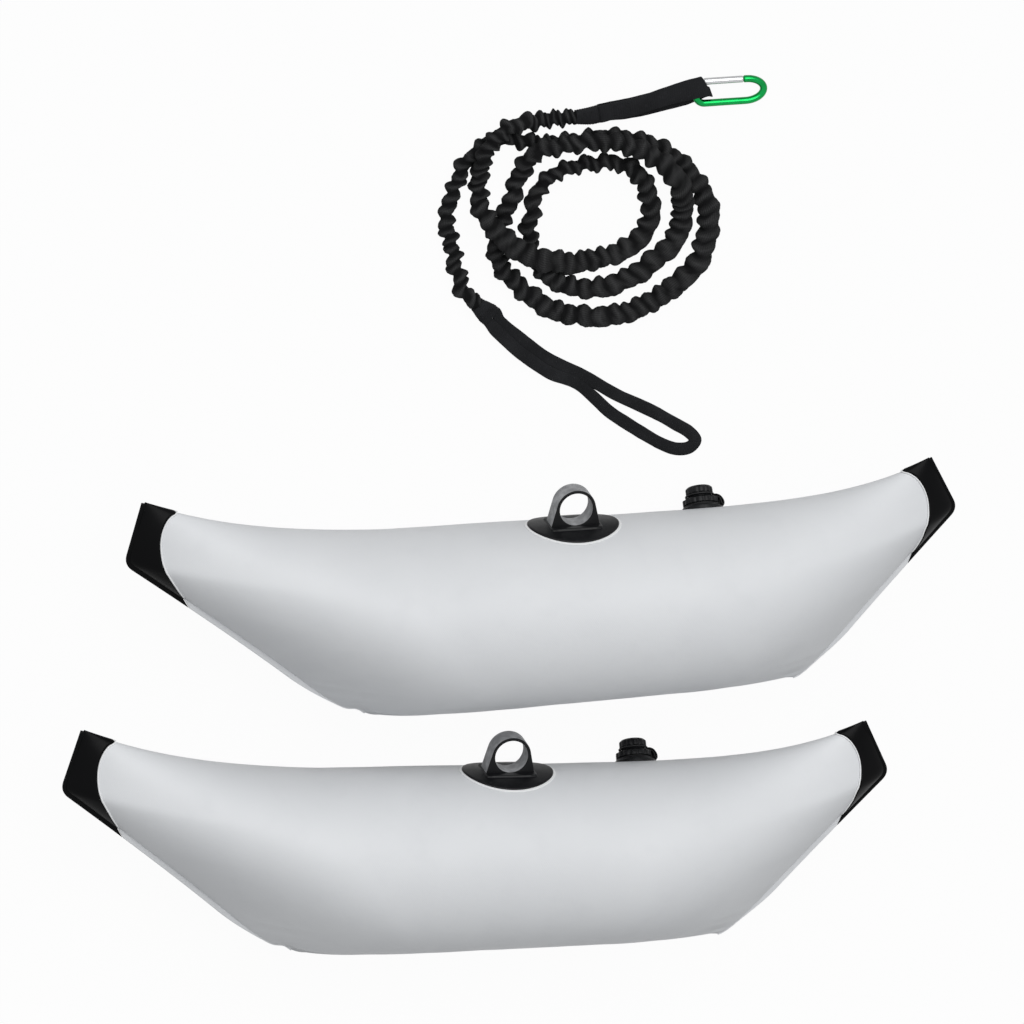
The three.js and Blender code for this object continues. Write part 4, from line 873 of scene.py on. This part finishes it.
leash_x, leash_y = 87.3, 341.2
floor_gap = 0.4
crossing_gap = 1.6
least_height = 0.2
thread_radius = 0.34
sleeve_half_width, sleeve_half_height = 13.0, 8.0
core_radius = 4.0
core_cover = 0.9
section_sides = 44
sleeve_shares = [0.7, 0.73, 1, 0.92, 0.67, 0.81, 1, 0.88, 0.81, 0.81, 0.92, 1, 0.83, 0.73, 0.7, 0.7]
sleeve_route = [
    (-32, 116, 0), (-49, 115.2, 0), (-66, 114, 0), (-82, 114, 0.3), (-98, 116, 0.85), (-112, 113, 1),
    (-124, 104, 1), (-133, 92, 1), (-139, 77, 0.95), (-140, 58, 0.5), (-138, 39, 0.05), (-137, 23, 0.1),
    (-134, 12, 0.6), (-128, 2, 1), (-117, -10, 1), (-104, -23, 1), (-90, -33, 1), (-75, -40, 1),
    (-59, -46, 0.95), (-41, -51, 0.5), (-21, -55, 0.05), (7, -51, 0), (33, -42, 0), (51, -27, 0),
    (60, -9, 0), (59, 13, 0), (52, 35, 0), (37, 52, 0), (16, 61, 0), (-7, 61, 0), (-30, 58, 0),
    (-51, 50, 0), (-66, 36, 0), (-73, 17, 0), (-76, -4, 0), (-76, -25, 0), (-70, -44, 0),
    (-59, -61, 0), (-43, -75, 0), (-21, -84, 0), (6, -86, 0), (32, -80, 0), (55, -67, 0),
    (75, -50, 0), (91, -31, 0), (97, -8, 0), (96, 10, 0.25), (91, 27, 0.85), (85, 42, 1),
    (74, 57, 1), (57, 71, 1), (38, 82, 1), (14, 90, 1), (-9, 93, 1), (-32, 92, 1), (-54, 89, 1),
    (-71, 86, 1), (-83, 80, 1), (-89, 69, 0.75), (-92, 54, 0.2), (-95, 40, 0), (-100, 19, 0),
    (-109, -5, 0), (-113, -27, 0), (-108, -50, 0), (-94, -71, 0), (-74, -89, 0), (-50, -107, 0),
    (-22, -116.5, 0), (9, -120, 0), (39, -117, 0), (66, -106, 0), (90, -90, 0), (109, -73, 0),
    (122, -51, 0), (128, -25, 0), (127, 1, 0), (119, 22, 0), (105, 42, 0), (86, 62, 0), (62, 78, 0),
    (37, 87, 0), (9, 91, 0), (-18, 90, 0), (-46, 87, 0), (-72, 86, 0), (-97, 91, 0), (-120, 92, 0),
    (-139, 81, 0), (-154.5, 65, 0), (-163, 45, 0), (-169.5, 21, 0), (-172, -4, 0), (-164, -30, 0),
    (-157, -56, 0), (-149.5, -78, 0), (-140, -93, 0), (-128, -103.5, 0),
]
loop_route = [
    (-115, -123.1, 1), (-98.7, -139.2, 0), (-79.3, -157.3, 0), (-58, -173.5, 0), (-37, -188, 0),
    (-16, -199, 0), (-2, -208, 0), (15, -221, 0), (33, -237, 0), (55, -252, 0), (77, -266, 0),
    (96, -277, 0), (114, -283.5, 0), (129, -282, 0), (136, -273, 0), (128, -262.5, 0),
    (111, -252, 0), (87, -238, 0), (65, -227, 0), (42, -216, 0), (18, -202, 0), (-4, -188, 0),
    (-25, -175, 0), (-47, -161, 0), (-67.3, -145.8, 0), (-84.7, -131.7, 0), (-106.3, -113.2, 1),
]


def layered(route, ground, rise):
    """Points of a route, each as high as the ground and its layer's share of the rise."""
    r = np.array(route, float)
    return np.stack([r[:, 0] + leash_x, r[:, 1] + leash_y, ground + rise * r[:, 2]], -1)


def sleeve_path(step):
    """The sleeve's middle line: half its height above the floor, and one strand higher where it crosses."""
    rise = 2 * sleeve_half_height + crossing_gap
    return spline(layered(sleeve_route, sleeve_half_height + floor_gap, rise), step=step)


def ruffled_sleeve():
    """A tube whose radius is 1 − depth · fold. At the edges, fold is 1 − |sin phase/2|^0.85: round bumps with
    notches between. On top it leans to cos²(phase/2): softer waves. The phase leads at one edge and lags at
    the other, so that the bumps alternate and the folds run askew. The folds are closer, deeper and less even
    where the sleeve is narrow, its middle line sways there from side to side, and the notches are deeper on
    the inside of a bend. It keeps clear of the core, and more so where the path bends."""
    path, at = sleeve_path(1.1)
    along, across, up = strand_axes(path)
    share = np.interp(at / at[-1], np.linspace(0, 1, len(sleeve_shares)), sleeve_shares)
    wide = smoothstep(0.72, 0.97, share)
    pitch = 13.2 + 3.6 * wide - 4.0 * (1 - smoothstep(90, 170, at))
    pitch = pitch * (1 + 0.34 * waves(at / 30, 21, 2))
    phase = np.r_[0, np.cumsum(turn / pitch[1:] * np.diff(at))]
    t, ph = np.meshgrid(section_angles(section_sides), phase)[0], phase[:, None]
    s, w = at[:, None], wide[:, None]
    bend = np.gradient(along[:, 1], at) * along[:, 0] - np.gradient(along[:, 0], at) * along[:, 1]
    inside = np.clip(np.convolve(bend, np.ones(25) / 25, "same") * 70, -1, 1)[:, None] * np.cos(t)
    lead = (1.5 + 0.7 * waves(s / 29, 22, 2)) * np.cos(t) * (1 - 0.75 * w)
    lead = lead + 0.6 * np.sin(2 * t + s / 26) + 0.9 * waves(s / 21 + 1.7 * np.cos(t), 27, 2)
    half_phase = (ph + lead) / 2
    bumps = 1 - np.abs(np.sin(half_phase)) ** 0.85
    ridges = np.cos(half_phase) ** 2
    fold = bumps + (ridges * 0.8 - bumps) * np.sin(t) ** 4 * 0.7
    depth = (0.58 - 0.28 * w) * (0.8 + 0.35 * waves(s / 13 + np.sin(t), 23, 2))
    depth = depth * (1 + (0.25 + 0.35 * w) * inside)
    swell = 0.05 * waves(s / 9 + 2.2 * np.cos(t), 26, 2)
    swell = swell - 0.045 * (1 + waves(ph * 1.5 + 5 * np.sin(t + 1), 24, 3))
    ends = np.minimum(1, np.minimum(at, at[-1] - at) / 8)[:, None]
    radial = (1 - np.maximum(depth, 0.04) * fold + swell) * (0.86 + 0.14 * ends)
    half_width = 1.13 * sleeve_half_width * share[:, None] * radial
    half_height = sleeve_half_height * (1 - 0.7 * (1 - radial))
    sway = np.sin(phase / 2 + 1.1 * waves(at / 33, 25, 2)) * (3.4 - 2.2 * wide)
    sway = sway * (0.75 + 0.4 * waves(at / 41, 28, 2))
    section = np.stack([half_width * np.cos(t), half_height * np.sin(t)], -1)
    reach = section + [1, 0] * (sway * ends[:, 0])[:, None, None]
    least = core_radius + core_cover + 60 * np.linalg.norm(np.gradient(along, at, axis=0), axis=1)
    reach *= np.maximum(1, least[:, None, None] / np.linalg.norm(reach, axis=-1, keepdims=True))
    points = swept(path, across, up, reach)
    points[..., 2] = np.maximum(points[..., 2], floor_gap)
    girth = t * 0.5 * (sleeve_half_width + sleeve_half_height)
    # The painted fold shade layer: painted shade in the hollows, where radial is small, a painted highlight
    # along each fold's crest in patches, and painted shade towards the strand's sides by cos⁴ of the angle
    # round it.
    patchy = 0.35 + 0.65 * smoothstep(-0.4, 0.5, waves(s / 17 + t, 29, 2))
    crest_highlight = np.exp(-(np.cos(half_phase) / 0.2) ** 2) * patchy
    raised = smoothstep(0.7, 1.02, radial)
    ridge = (0.03 + 0.75 * raised + 0.5 * crest_highlight) * (1 - 0.4 * np.cos(t) ** 4)
    uv = np.stack([s * 1.4 + 0 * t, girth, ridge], -1)
    return Surface().grid(points, uv=uv)


def add_sleeve():
    """The core along the route, and the sleeve round it."""
    path, _ = sleeve_path(4.0)
    section = soft_rectangle(core_radius, core_radius, 14, 2.0)
    core = Surface().grid(swept(path, *strand_axes(path)[1:], section))
    core.piece("rubber_core", "root", "elastic_rubber", cord_rubber, ["elastic_core"])
    sleeve = ruffled_sleeve().piece("gathered_sleeve", "root", "black_cloth", black_cloth, ["elastic_sleeve"])
    line, at = sleeve_path(5.0)
    line, length = line[::-1] * metre, at[-1] * metre


add_sleeve()


def add_hand_loop():
    """Doubled webbing: a soft rectangle with a groove along both edges, swelling and narrowing a little. Its
    legs overlap where they leave the sewn end, and the first lies over the last."""
    path, at = spline(layered(loop_route, 2.5 + floor_gap, 0.9), step=1.6)
    _, across, up = strand_axes(path)
    tip = smoothstep(70, 190, at) * smoothstep(70, 190, at[-1] - at)
    first, last = ((1 - smoothstep(85, 145, way)) * smoothstep(0, 14, way) for way in (at, at[-1] - at))
    half_width = 6.2 + 0.9 * tip + 1.2 * (first + last) + 0.35 * waves(at / 14, 31, 3)
    section = soft_rectangle(half_width, 2.45 + 0.12 * waves(at / 11, 32, 2), 36, 4.5)
    t = section_angles(36)
    groove = np.exp(-((np.sin(t)) / 0.16) ** 2) * np.abs(np.cos(t))
    section[..., 0] -= np.sign(np.cos(t)) * 0.9 * groove
    inwards = 1.0 * tip - 0.6 * first + 5.6 * last + 2.6 * np.exp(-((at - 134) / 24) ** 2)
    path[:, 2] += 2.4 * first
    points = swept(path + across * inwards[:, None], across, up, section)
    points[..., 2] = np.maximum(points[..., 2], least_height)
    loop = Surface().grid(points)
    loop.piece("webbing_loop", "root", "black_webbing", black_webbing, ["hand_loop"])


def sewn_block(at_end, x, y, degrees, half_widths, half_heights, name, node):
    """A sewn end: a soft rectangle that widens and flattens from inside the sleeve's end to (x, y), along a
    spline that arrives there level and in line with degrees. Its edges are pinched by up to a twentieth."""
    line, _ = sleeve_path(1.0)
    along = unit(np.gradient(line, axis=0))
    start, out = (line[-1], along[-1]) if at_end else (line[0], -along[0])
    facing = np.array([math.cos(math.radians(degrees)), math.sin(math.radians(degrees)), 0])
    goal = np.array([x + leash_x, y + leash_y, floor_gap])
    points = [start - out * 1.4, start + out * 5.4,
              goal + [0, 0, half_heights[2]] - facing * 5, goal + [0, 0, half_heights[3]] + facing * 1.7]
    path, at = spline(points, count=40)
    keys = lengths(points)
    width, height = (np.interp(at, keys / keys[-1] * at[-1], v) for v in (half_widths, half_heights))
    _, across, up = strand_axes(path)
    pinch = 1 - 0.05 * np.abs(np.sin(at * 1.1))
    block = Surface().grid(swept(path, across, up, soft_rectangle(width * pinch, height * pinch, 32, 3.2)))
    block.piece(name, "root", "black_webbing", black_webbing, [node])
    return path, across, up, width, height


def stitches(rows, name):
    """Short threads, each a bent capsule of 7 rings of 6 points, that dip into the cloth at both ends. A row
    is a thread's middle, its direction, the cloth's normal there, and its length."""
    s = np.linspace(0, 1, 7)
    ring = np.arange(6) * turn / 6
    size = (thread_radius * np.sqrt(np.maximum(1 - (2 * s - 1) ** 4, 0.05)))[:, None, None]
    surface = Surface()
    for middle, direction, normal, length in rows:
        run, rise = (s - 0.5) * length, thread_radius * np.sin(np.pi * s) - 0.14
        line = middle + np.multiply.outer(run, direction) + np.multiply.outer(rise, normal)
        side = np.cross(direction, normal)
        spoke = np.cos(ring)[None, :, None] * side + np.sin(ring)[None, :, None] * normal
        surface.grid(line[:, None] + size * spoke)
    surface.piece(name, "root", "black_webbing", thread)


# Carabiner strap

strap_x, strap_y, strap_degrees = -9.0 + leash_x, 117.2 + leash_y, 11.2
strap_top, strap_low, strap_neck_top = 11.5, 1.2, 7.8
strap_start, strap_rise_length = 14.0, 76.0
strap_half_width = 12.5
fold_x = 124.0


def on_strap(points):
    """From the strap's own frame, whose X runs along it, to its place."""
    return put(points, strap_x, strap_y, 0, strap_degrees)


def strap_height(x):
    """The upper layer rises in a parabola from the neck to its flat part above the rod."""
    way = np.clip((x - strap_start) / strap_rise_length, 0, 1)
    return strap_neck_top + (strap_top - strap_neck_top) * (1 - (1 - way) ** 2)


def strap_line():
    """In the strap's own frame: the upper layer, the fold round the rod, the lower layer and the neck.
    Each row gives x, z, half width and how far the middle is moved across."""
    upper = [(strap_start, 10.0, 0.6), (25, 10.4, 0.2), (46, 10.6, 1.7), (60, 10.6, 3.8), (70, 10.7, 5.3),
             (85, 11.2, 6.8), (100, 11.9, 7.7), (110, 12.4, 8.1), (123, strap_half_width, 8.5)]
    rows = [(x, strap_height(x), w, d) for x, w, d in upper]
    radius = (strap_top - strap_low) / 2
    for t in np.linspace(0, np.pi, 15):
        high = 4.0 + 17.0 * (1 - smoothstep(0.0, 0.62, t))
        low = -4.0 - 4.6 * smoothstep(0.5, 1.6, t)
        x, z = fold_x + radius * math.sin(t), strap_low + radius * (1 + math.cos(t))
        rows.append((x, z, (high - low) / 2, (high + low) / 2))
    lower = [(120, 8.4, -1.0), (113, 10.2, -1.2), (105, 11.8, -1.4), (94, 12.3, -1.6),
             (78, strap_half_width, -2.0), (60, strap_half_width, -2.6), (46, 12.4, -2.8), (30, 12.0, -2.4),
             (18, 11.0, -1.2), (10, 10.2, -0.4)]
    rows += [(x, strap_low, w, d) for x, w, d in lower]
    neck = (strap_neck_top - strap_low) / 2
    for t in np.linspace(0, np.pi, 9):
        rows.append((4.9 - neck * math.sin(t), strap_low + neck * (1 - math.cos(t)), 9.9, 0.0))
    return np.array(rows)


def add_strap():
    """A closed band: its section is a flat soft rectangle that curls at its edges by a few tenths. At the
    fold it is drawn askew, by a fifth of the distance across."""
    rows = strap_line()
    closed = np.concatenate([rows, rows[:1]])
    length = lengths(closed[:, :2])
    at = np.linspace(0, length[-1], 300, endpoint=False)
    smooth = lambda v: sum(np.roll(v, k) for k in range(-3, 4)) / 7
    x, z, w, d = (smooth(np.interp(at, length, closed[:, k])) for k in range(4))
    path = np.stack([x, 0 * x, z], -1)
    along = unit(np.roll(path, -1, 0) - np.roll(path, 1, 0))
    across = np.array([0.0, 1.0, 0.0]) + 0 * path
    up = np.cross(along, across)
    path[:, 1] = d
    section = soft_rectangle(w + 0.25 * waves(at / 9, 41, 3), np.full(len(at), 0.72), section_sides, 7.0)
    curl = 0.35 * (section[..., 0] / strap_half_width) ** 2 * waves(at / 17, 42, 2)[:, None]
    section[..., 1] += np.clip(curl, -0.1, 0.4)
    points = swept(path, across, up, section)
    points[..., 0] += smoothstep(104, 122, points[..., 0]) * np.clip(7.0 - points[..., 1], -3, 30) * 0.2
    points[..., 2] = np.maximum(points[..., 2], least_height)
    strap = Surface().grid(on_strap(points), wrap_rows=True).piece(
        "doubled_strap", None, "black_webbing", black_webbing, ["carabiner_strap", "strap_fold"])
    ends = on_strap(np.array([[91.0, 0, 6], [108.5, 0, 6]])) * metre
    return strap, ends


# Carabiner

clip_x, clip_y, clip_z, clip_degrees = 113 + leash_x, 140.4 + leash_y, 6.35, 2.4
rod_radius, clip_half_width = 4.0, 12.8
spine_length, small_reach, large_reach = 47.0, 11.0, 20.0
hinge_x, nose_x = -4.2, 43.5


def on_clip(points):
    """From the carabiner's own frame, whose X runs along its spine, to its place."""
    return put(points, clip_x, clip_y, clip_z, clip_degrees)


def clip_line():
    """The small round end, the straight spine and the large round end, up to the nose."""
    a = np.linspace(math.asin(-hinge_x / small_reach), np.pi, 17)
    small = np.stack([-small_reach * np.sin(a), clip_half_width * np.cos(a), 0 * a], -1)
    spine = np.array([(spine_length * k / 3, -clip_half_width, 0) for k in (1, 2)])
    b = np.linspace(0, np.pi, 17)
    large = np.stack([spine_length + large_reach * np.sin(b), -clip_half_width * np.cos(b), 0 * b], -1)
    return np.concatenate([small, spine, large, [(nose_x, clip_half_width, 0)]])


def slab(outline, rows):
    """A plate in line with the gate: its outline, drawn in about its middle to a share at each height."""
    middle = outline.mean(0)
    flat = [middle + (outline - middle) * share for share, _ in rows]
    layers = [np.concatenate([p, np.full((len(p), 1), z)], 1) for p, (_, z) in zip(flat, rows)]
    return np.stack(layers) + [0, clip_half_width, 0]


def add_carabiner():
    """The rod with the catch at its nose and the hinge at its small end, and the gate, a round bar."""
    path, at = spline(clip_line(), count=170)
    _, across, up = strand_axes(path)
    end = np.minimum(at, at[-1] - at)
    taper = np.sqrt(np.clip(1 - (1 - np.minimum(end / 1.2, 1)) ** 2 * 0.5, 0.3, 1))
    section = soft_rectangle(rod_radius * taper, rod_radius * taper, 32, 2.0)
    body = Surface().grid(on_clip(swept(path, across, up, section)))
    catch = rounded([(36.9, -2.4), (46.1, -2.6), (46.1, 2.6), (36.9, 2.4)], 1.2, closed=True)
    body.grid(on_clip(slab(catch, [(0.72, -1.3), (1.0, -0.9), (1.0, 0.9), (0.72, 1.3)])))
    hinge = rounded([(-6.2, -3.6), (0, -3.4), (3.2, -1), (3.2, 1), (0, 2.6), (-6.2, -0.4)], 1.6, closed=True)
    body.grid(on_clip(slab(hinge, [(0.85, -1.4), (1.0, -1.0), (1.0, 1.0), (0.85, 1.4)])))
    body.piece("green_rod", "clip", "green_anodising", green_anodising, ["carabiner_body"], sharp=45)
    x = np.r_[-3.6, -3.2, -2.4, -1.2, 0.4, np.linspace(2, 41.6, 24), 42.3, 42.8]
    size = np.minimum(1, np.sqrt(np.clip((x + 3.75) / 3.2, 0, 1)))
    size[-2:] *= (0.97, 0.86)
    line = np.stack([x, clip_half_width + 0 * x, 0 * x], -1)
    section = soft_rectangle(3.8 * size, 3.75 * size, 32, 2.0)
    gate = Surface().grid(on_clip(swept(line, *strand_axes(line)[1:], section)))
    gate.piece("gate_sleeve", "gate", "bright_metal", steel, ["carabiner_gate"])


for letter in "ab":
    add_float(letter)
    add_arm_ring(letter)
    add_valve(letter)
    add_tether(letter)
add_hand_loop()
loop_end = sewn_block(True, -111.4, -117.9, -41, [8.8, 10.5, 12.8, 12.8], [6.8, 5.8, 3.8, 3.4],
                      "stitched_end_loop", "sewn_end_loop")
strap_end = sewn_block(False, -9, 117.2, strap_degrees, [7.6, 8.8, 10.3, 10.5], [6.8, 5.8, 5.0, 4.6],
                       "stitched_end_strap", "sewn_end_strap")
strap, strap_ends = add_strap()
add_carabiner()


def tack_rows(block, places, count):
    """Rows of stitches across a sewn end, on its upper face."""
    path, across, up, width, height = block
    along = np.cross(across, up)
    for place in places:
        k = int(place * (len(path) - 1))
        lean = unit(along[k] + 0.35 * across[k])
        for j in np.linspace(-0.7, 0.7, count):
            yield path[k] + across[k] * width[k] * j + up[k] * (height[k] * 0.95), lean, up[k], 2.6


def strap_rows():
    """A stitched box with its two diagonals, on the upper layer near the neck."""
    corners = [(20, -8), (38, -8), (38, 8), (20, 8), (20, -8), (38, 8)]
    lines = list(zip(corners[:-1], corners[1:])) + [((20, 8), (38, -8))]
    for (x0, y0), (x1, y1) in lines:
        length = math.hypot(x1 - x0, y1 - y0)
        count = int(length / 2.7)
        direction = put(np.array([x1 - x0, y1 - y0, 0.0]) / length, degrees=strap_degrees)
        for t in (np.arange(count) + 0.5) / count:
            x, y = x0 + (x1 - x0) * t, y0 + (y1 - y0) * t
            middle = on_strap(np.array([x, y, strap_height(x) + 0.7]))
            yield middle, direction, np.array([0, 0, 1.0]), 2.0


stitches(tack_rows(loop_end, (0.42, 0.62), 11), "loop_tacks")
stitches(tack_rows(strap_end, (0.3, 0.6), 9), "strap_tacks")
stitches(strap_rows(), "strap_box_stitch")
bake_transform(strap, "root", "clip", start=tuple(strap_ends[0]), end=tuple(strap_ends[1]))


# CAD nodes that stay, with their finishes

kept = {
    "plug_gasket": black_rubber, "valve_flap": black_rubber, "gate_pin": steel,
    "catch_pin": steel, "gate_plunger": steel, "gate_spring": steel,
}
for name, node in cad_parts.items():
    finish = kept.get(name) or kept.get(name[:-2])
    if finish:
        for material_slot in node.material_slots:
            material_slot.material = finish


# Floor, light and white background

def add_floor():
    """A wide white sheet. The camera sees it nearly white, with the object's shadow kept."""
    size, z = 9.0, -0.0006
    mesh = bpy.data.meshes.new("floor")
    corners = [(-size, -size, z), (size, -size, z), (size, size, z), (-size, size, z)]
    mesh.from_pydata(corners, [], [(0, 1, 2, 3)])
    floor = add_object("floor", mesh)
    f = Finish("floor_white", (0.62, 0.62, 0.62), 0.9, Specular_IOR_Level=0.0)
    glow = f.node("ShaderNodeEmission", Color=(1, 1, 1), Strength=1.0)
    seen, mirrored, through = f.rays()
    share = f.maths("MINIMUM", seen * 0.96 + mirrored * 0.6 + through * 0.96, 1.0)
    blend = f.node("ShaderNodeMixShader", Fac=share, i1=Wire(f, f.shader.outputs[0]), i2=glow)
    f.feed(f.tree.nodes["Material Output"].inputs["Surface"], blend)
    mesh.materials.append(f.material)


def add_light():
    """A soft overhead sun, and an even white sky that is dimmer for light than for the eye."""
    sun = bpy.data.lights.new("overhead", "SUN")
    sun.energy, sun.angle = 2.0, math.radians(50)
    back = unit(np.array([0.04, 0.60, 0.80]))
    side = unit(np.cross([0, 1.0, 0], back))
    stand(add_object("overhead", sun), side, np.cross(back, side), back)
    world = bpy.data.worlds.new("studio")
    bpy.context.scene.world = world
    world.use_nodes = True
    world.node_tree.nodes.clear()
    sky = Nodes(world.node_tree)
    straight, mirrored, through = sky.rays()
    seen = sky.maths("MAXIMUM", sky.maths("MAXIMUM", straight, mirrored), through)
    dim = sky.node("ShaderNodeBackground", Color=(0.97, 0.985, 1), Strength=0.36)
    white = sky.node("ShaderNodeBackground", Color=(1, 1, 1), Strength=1.0)
    sky.node("ShaderNodeOutputWorld", Surface=sky.node("ShaderNodeMixShader", Fac=seen, i1=dim, i2=white))


add_floor()
add_light()
bpy.context.scene.view_settings.view_transform = "Standard"
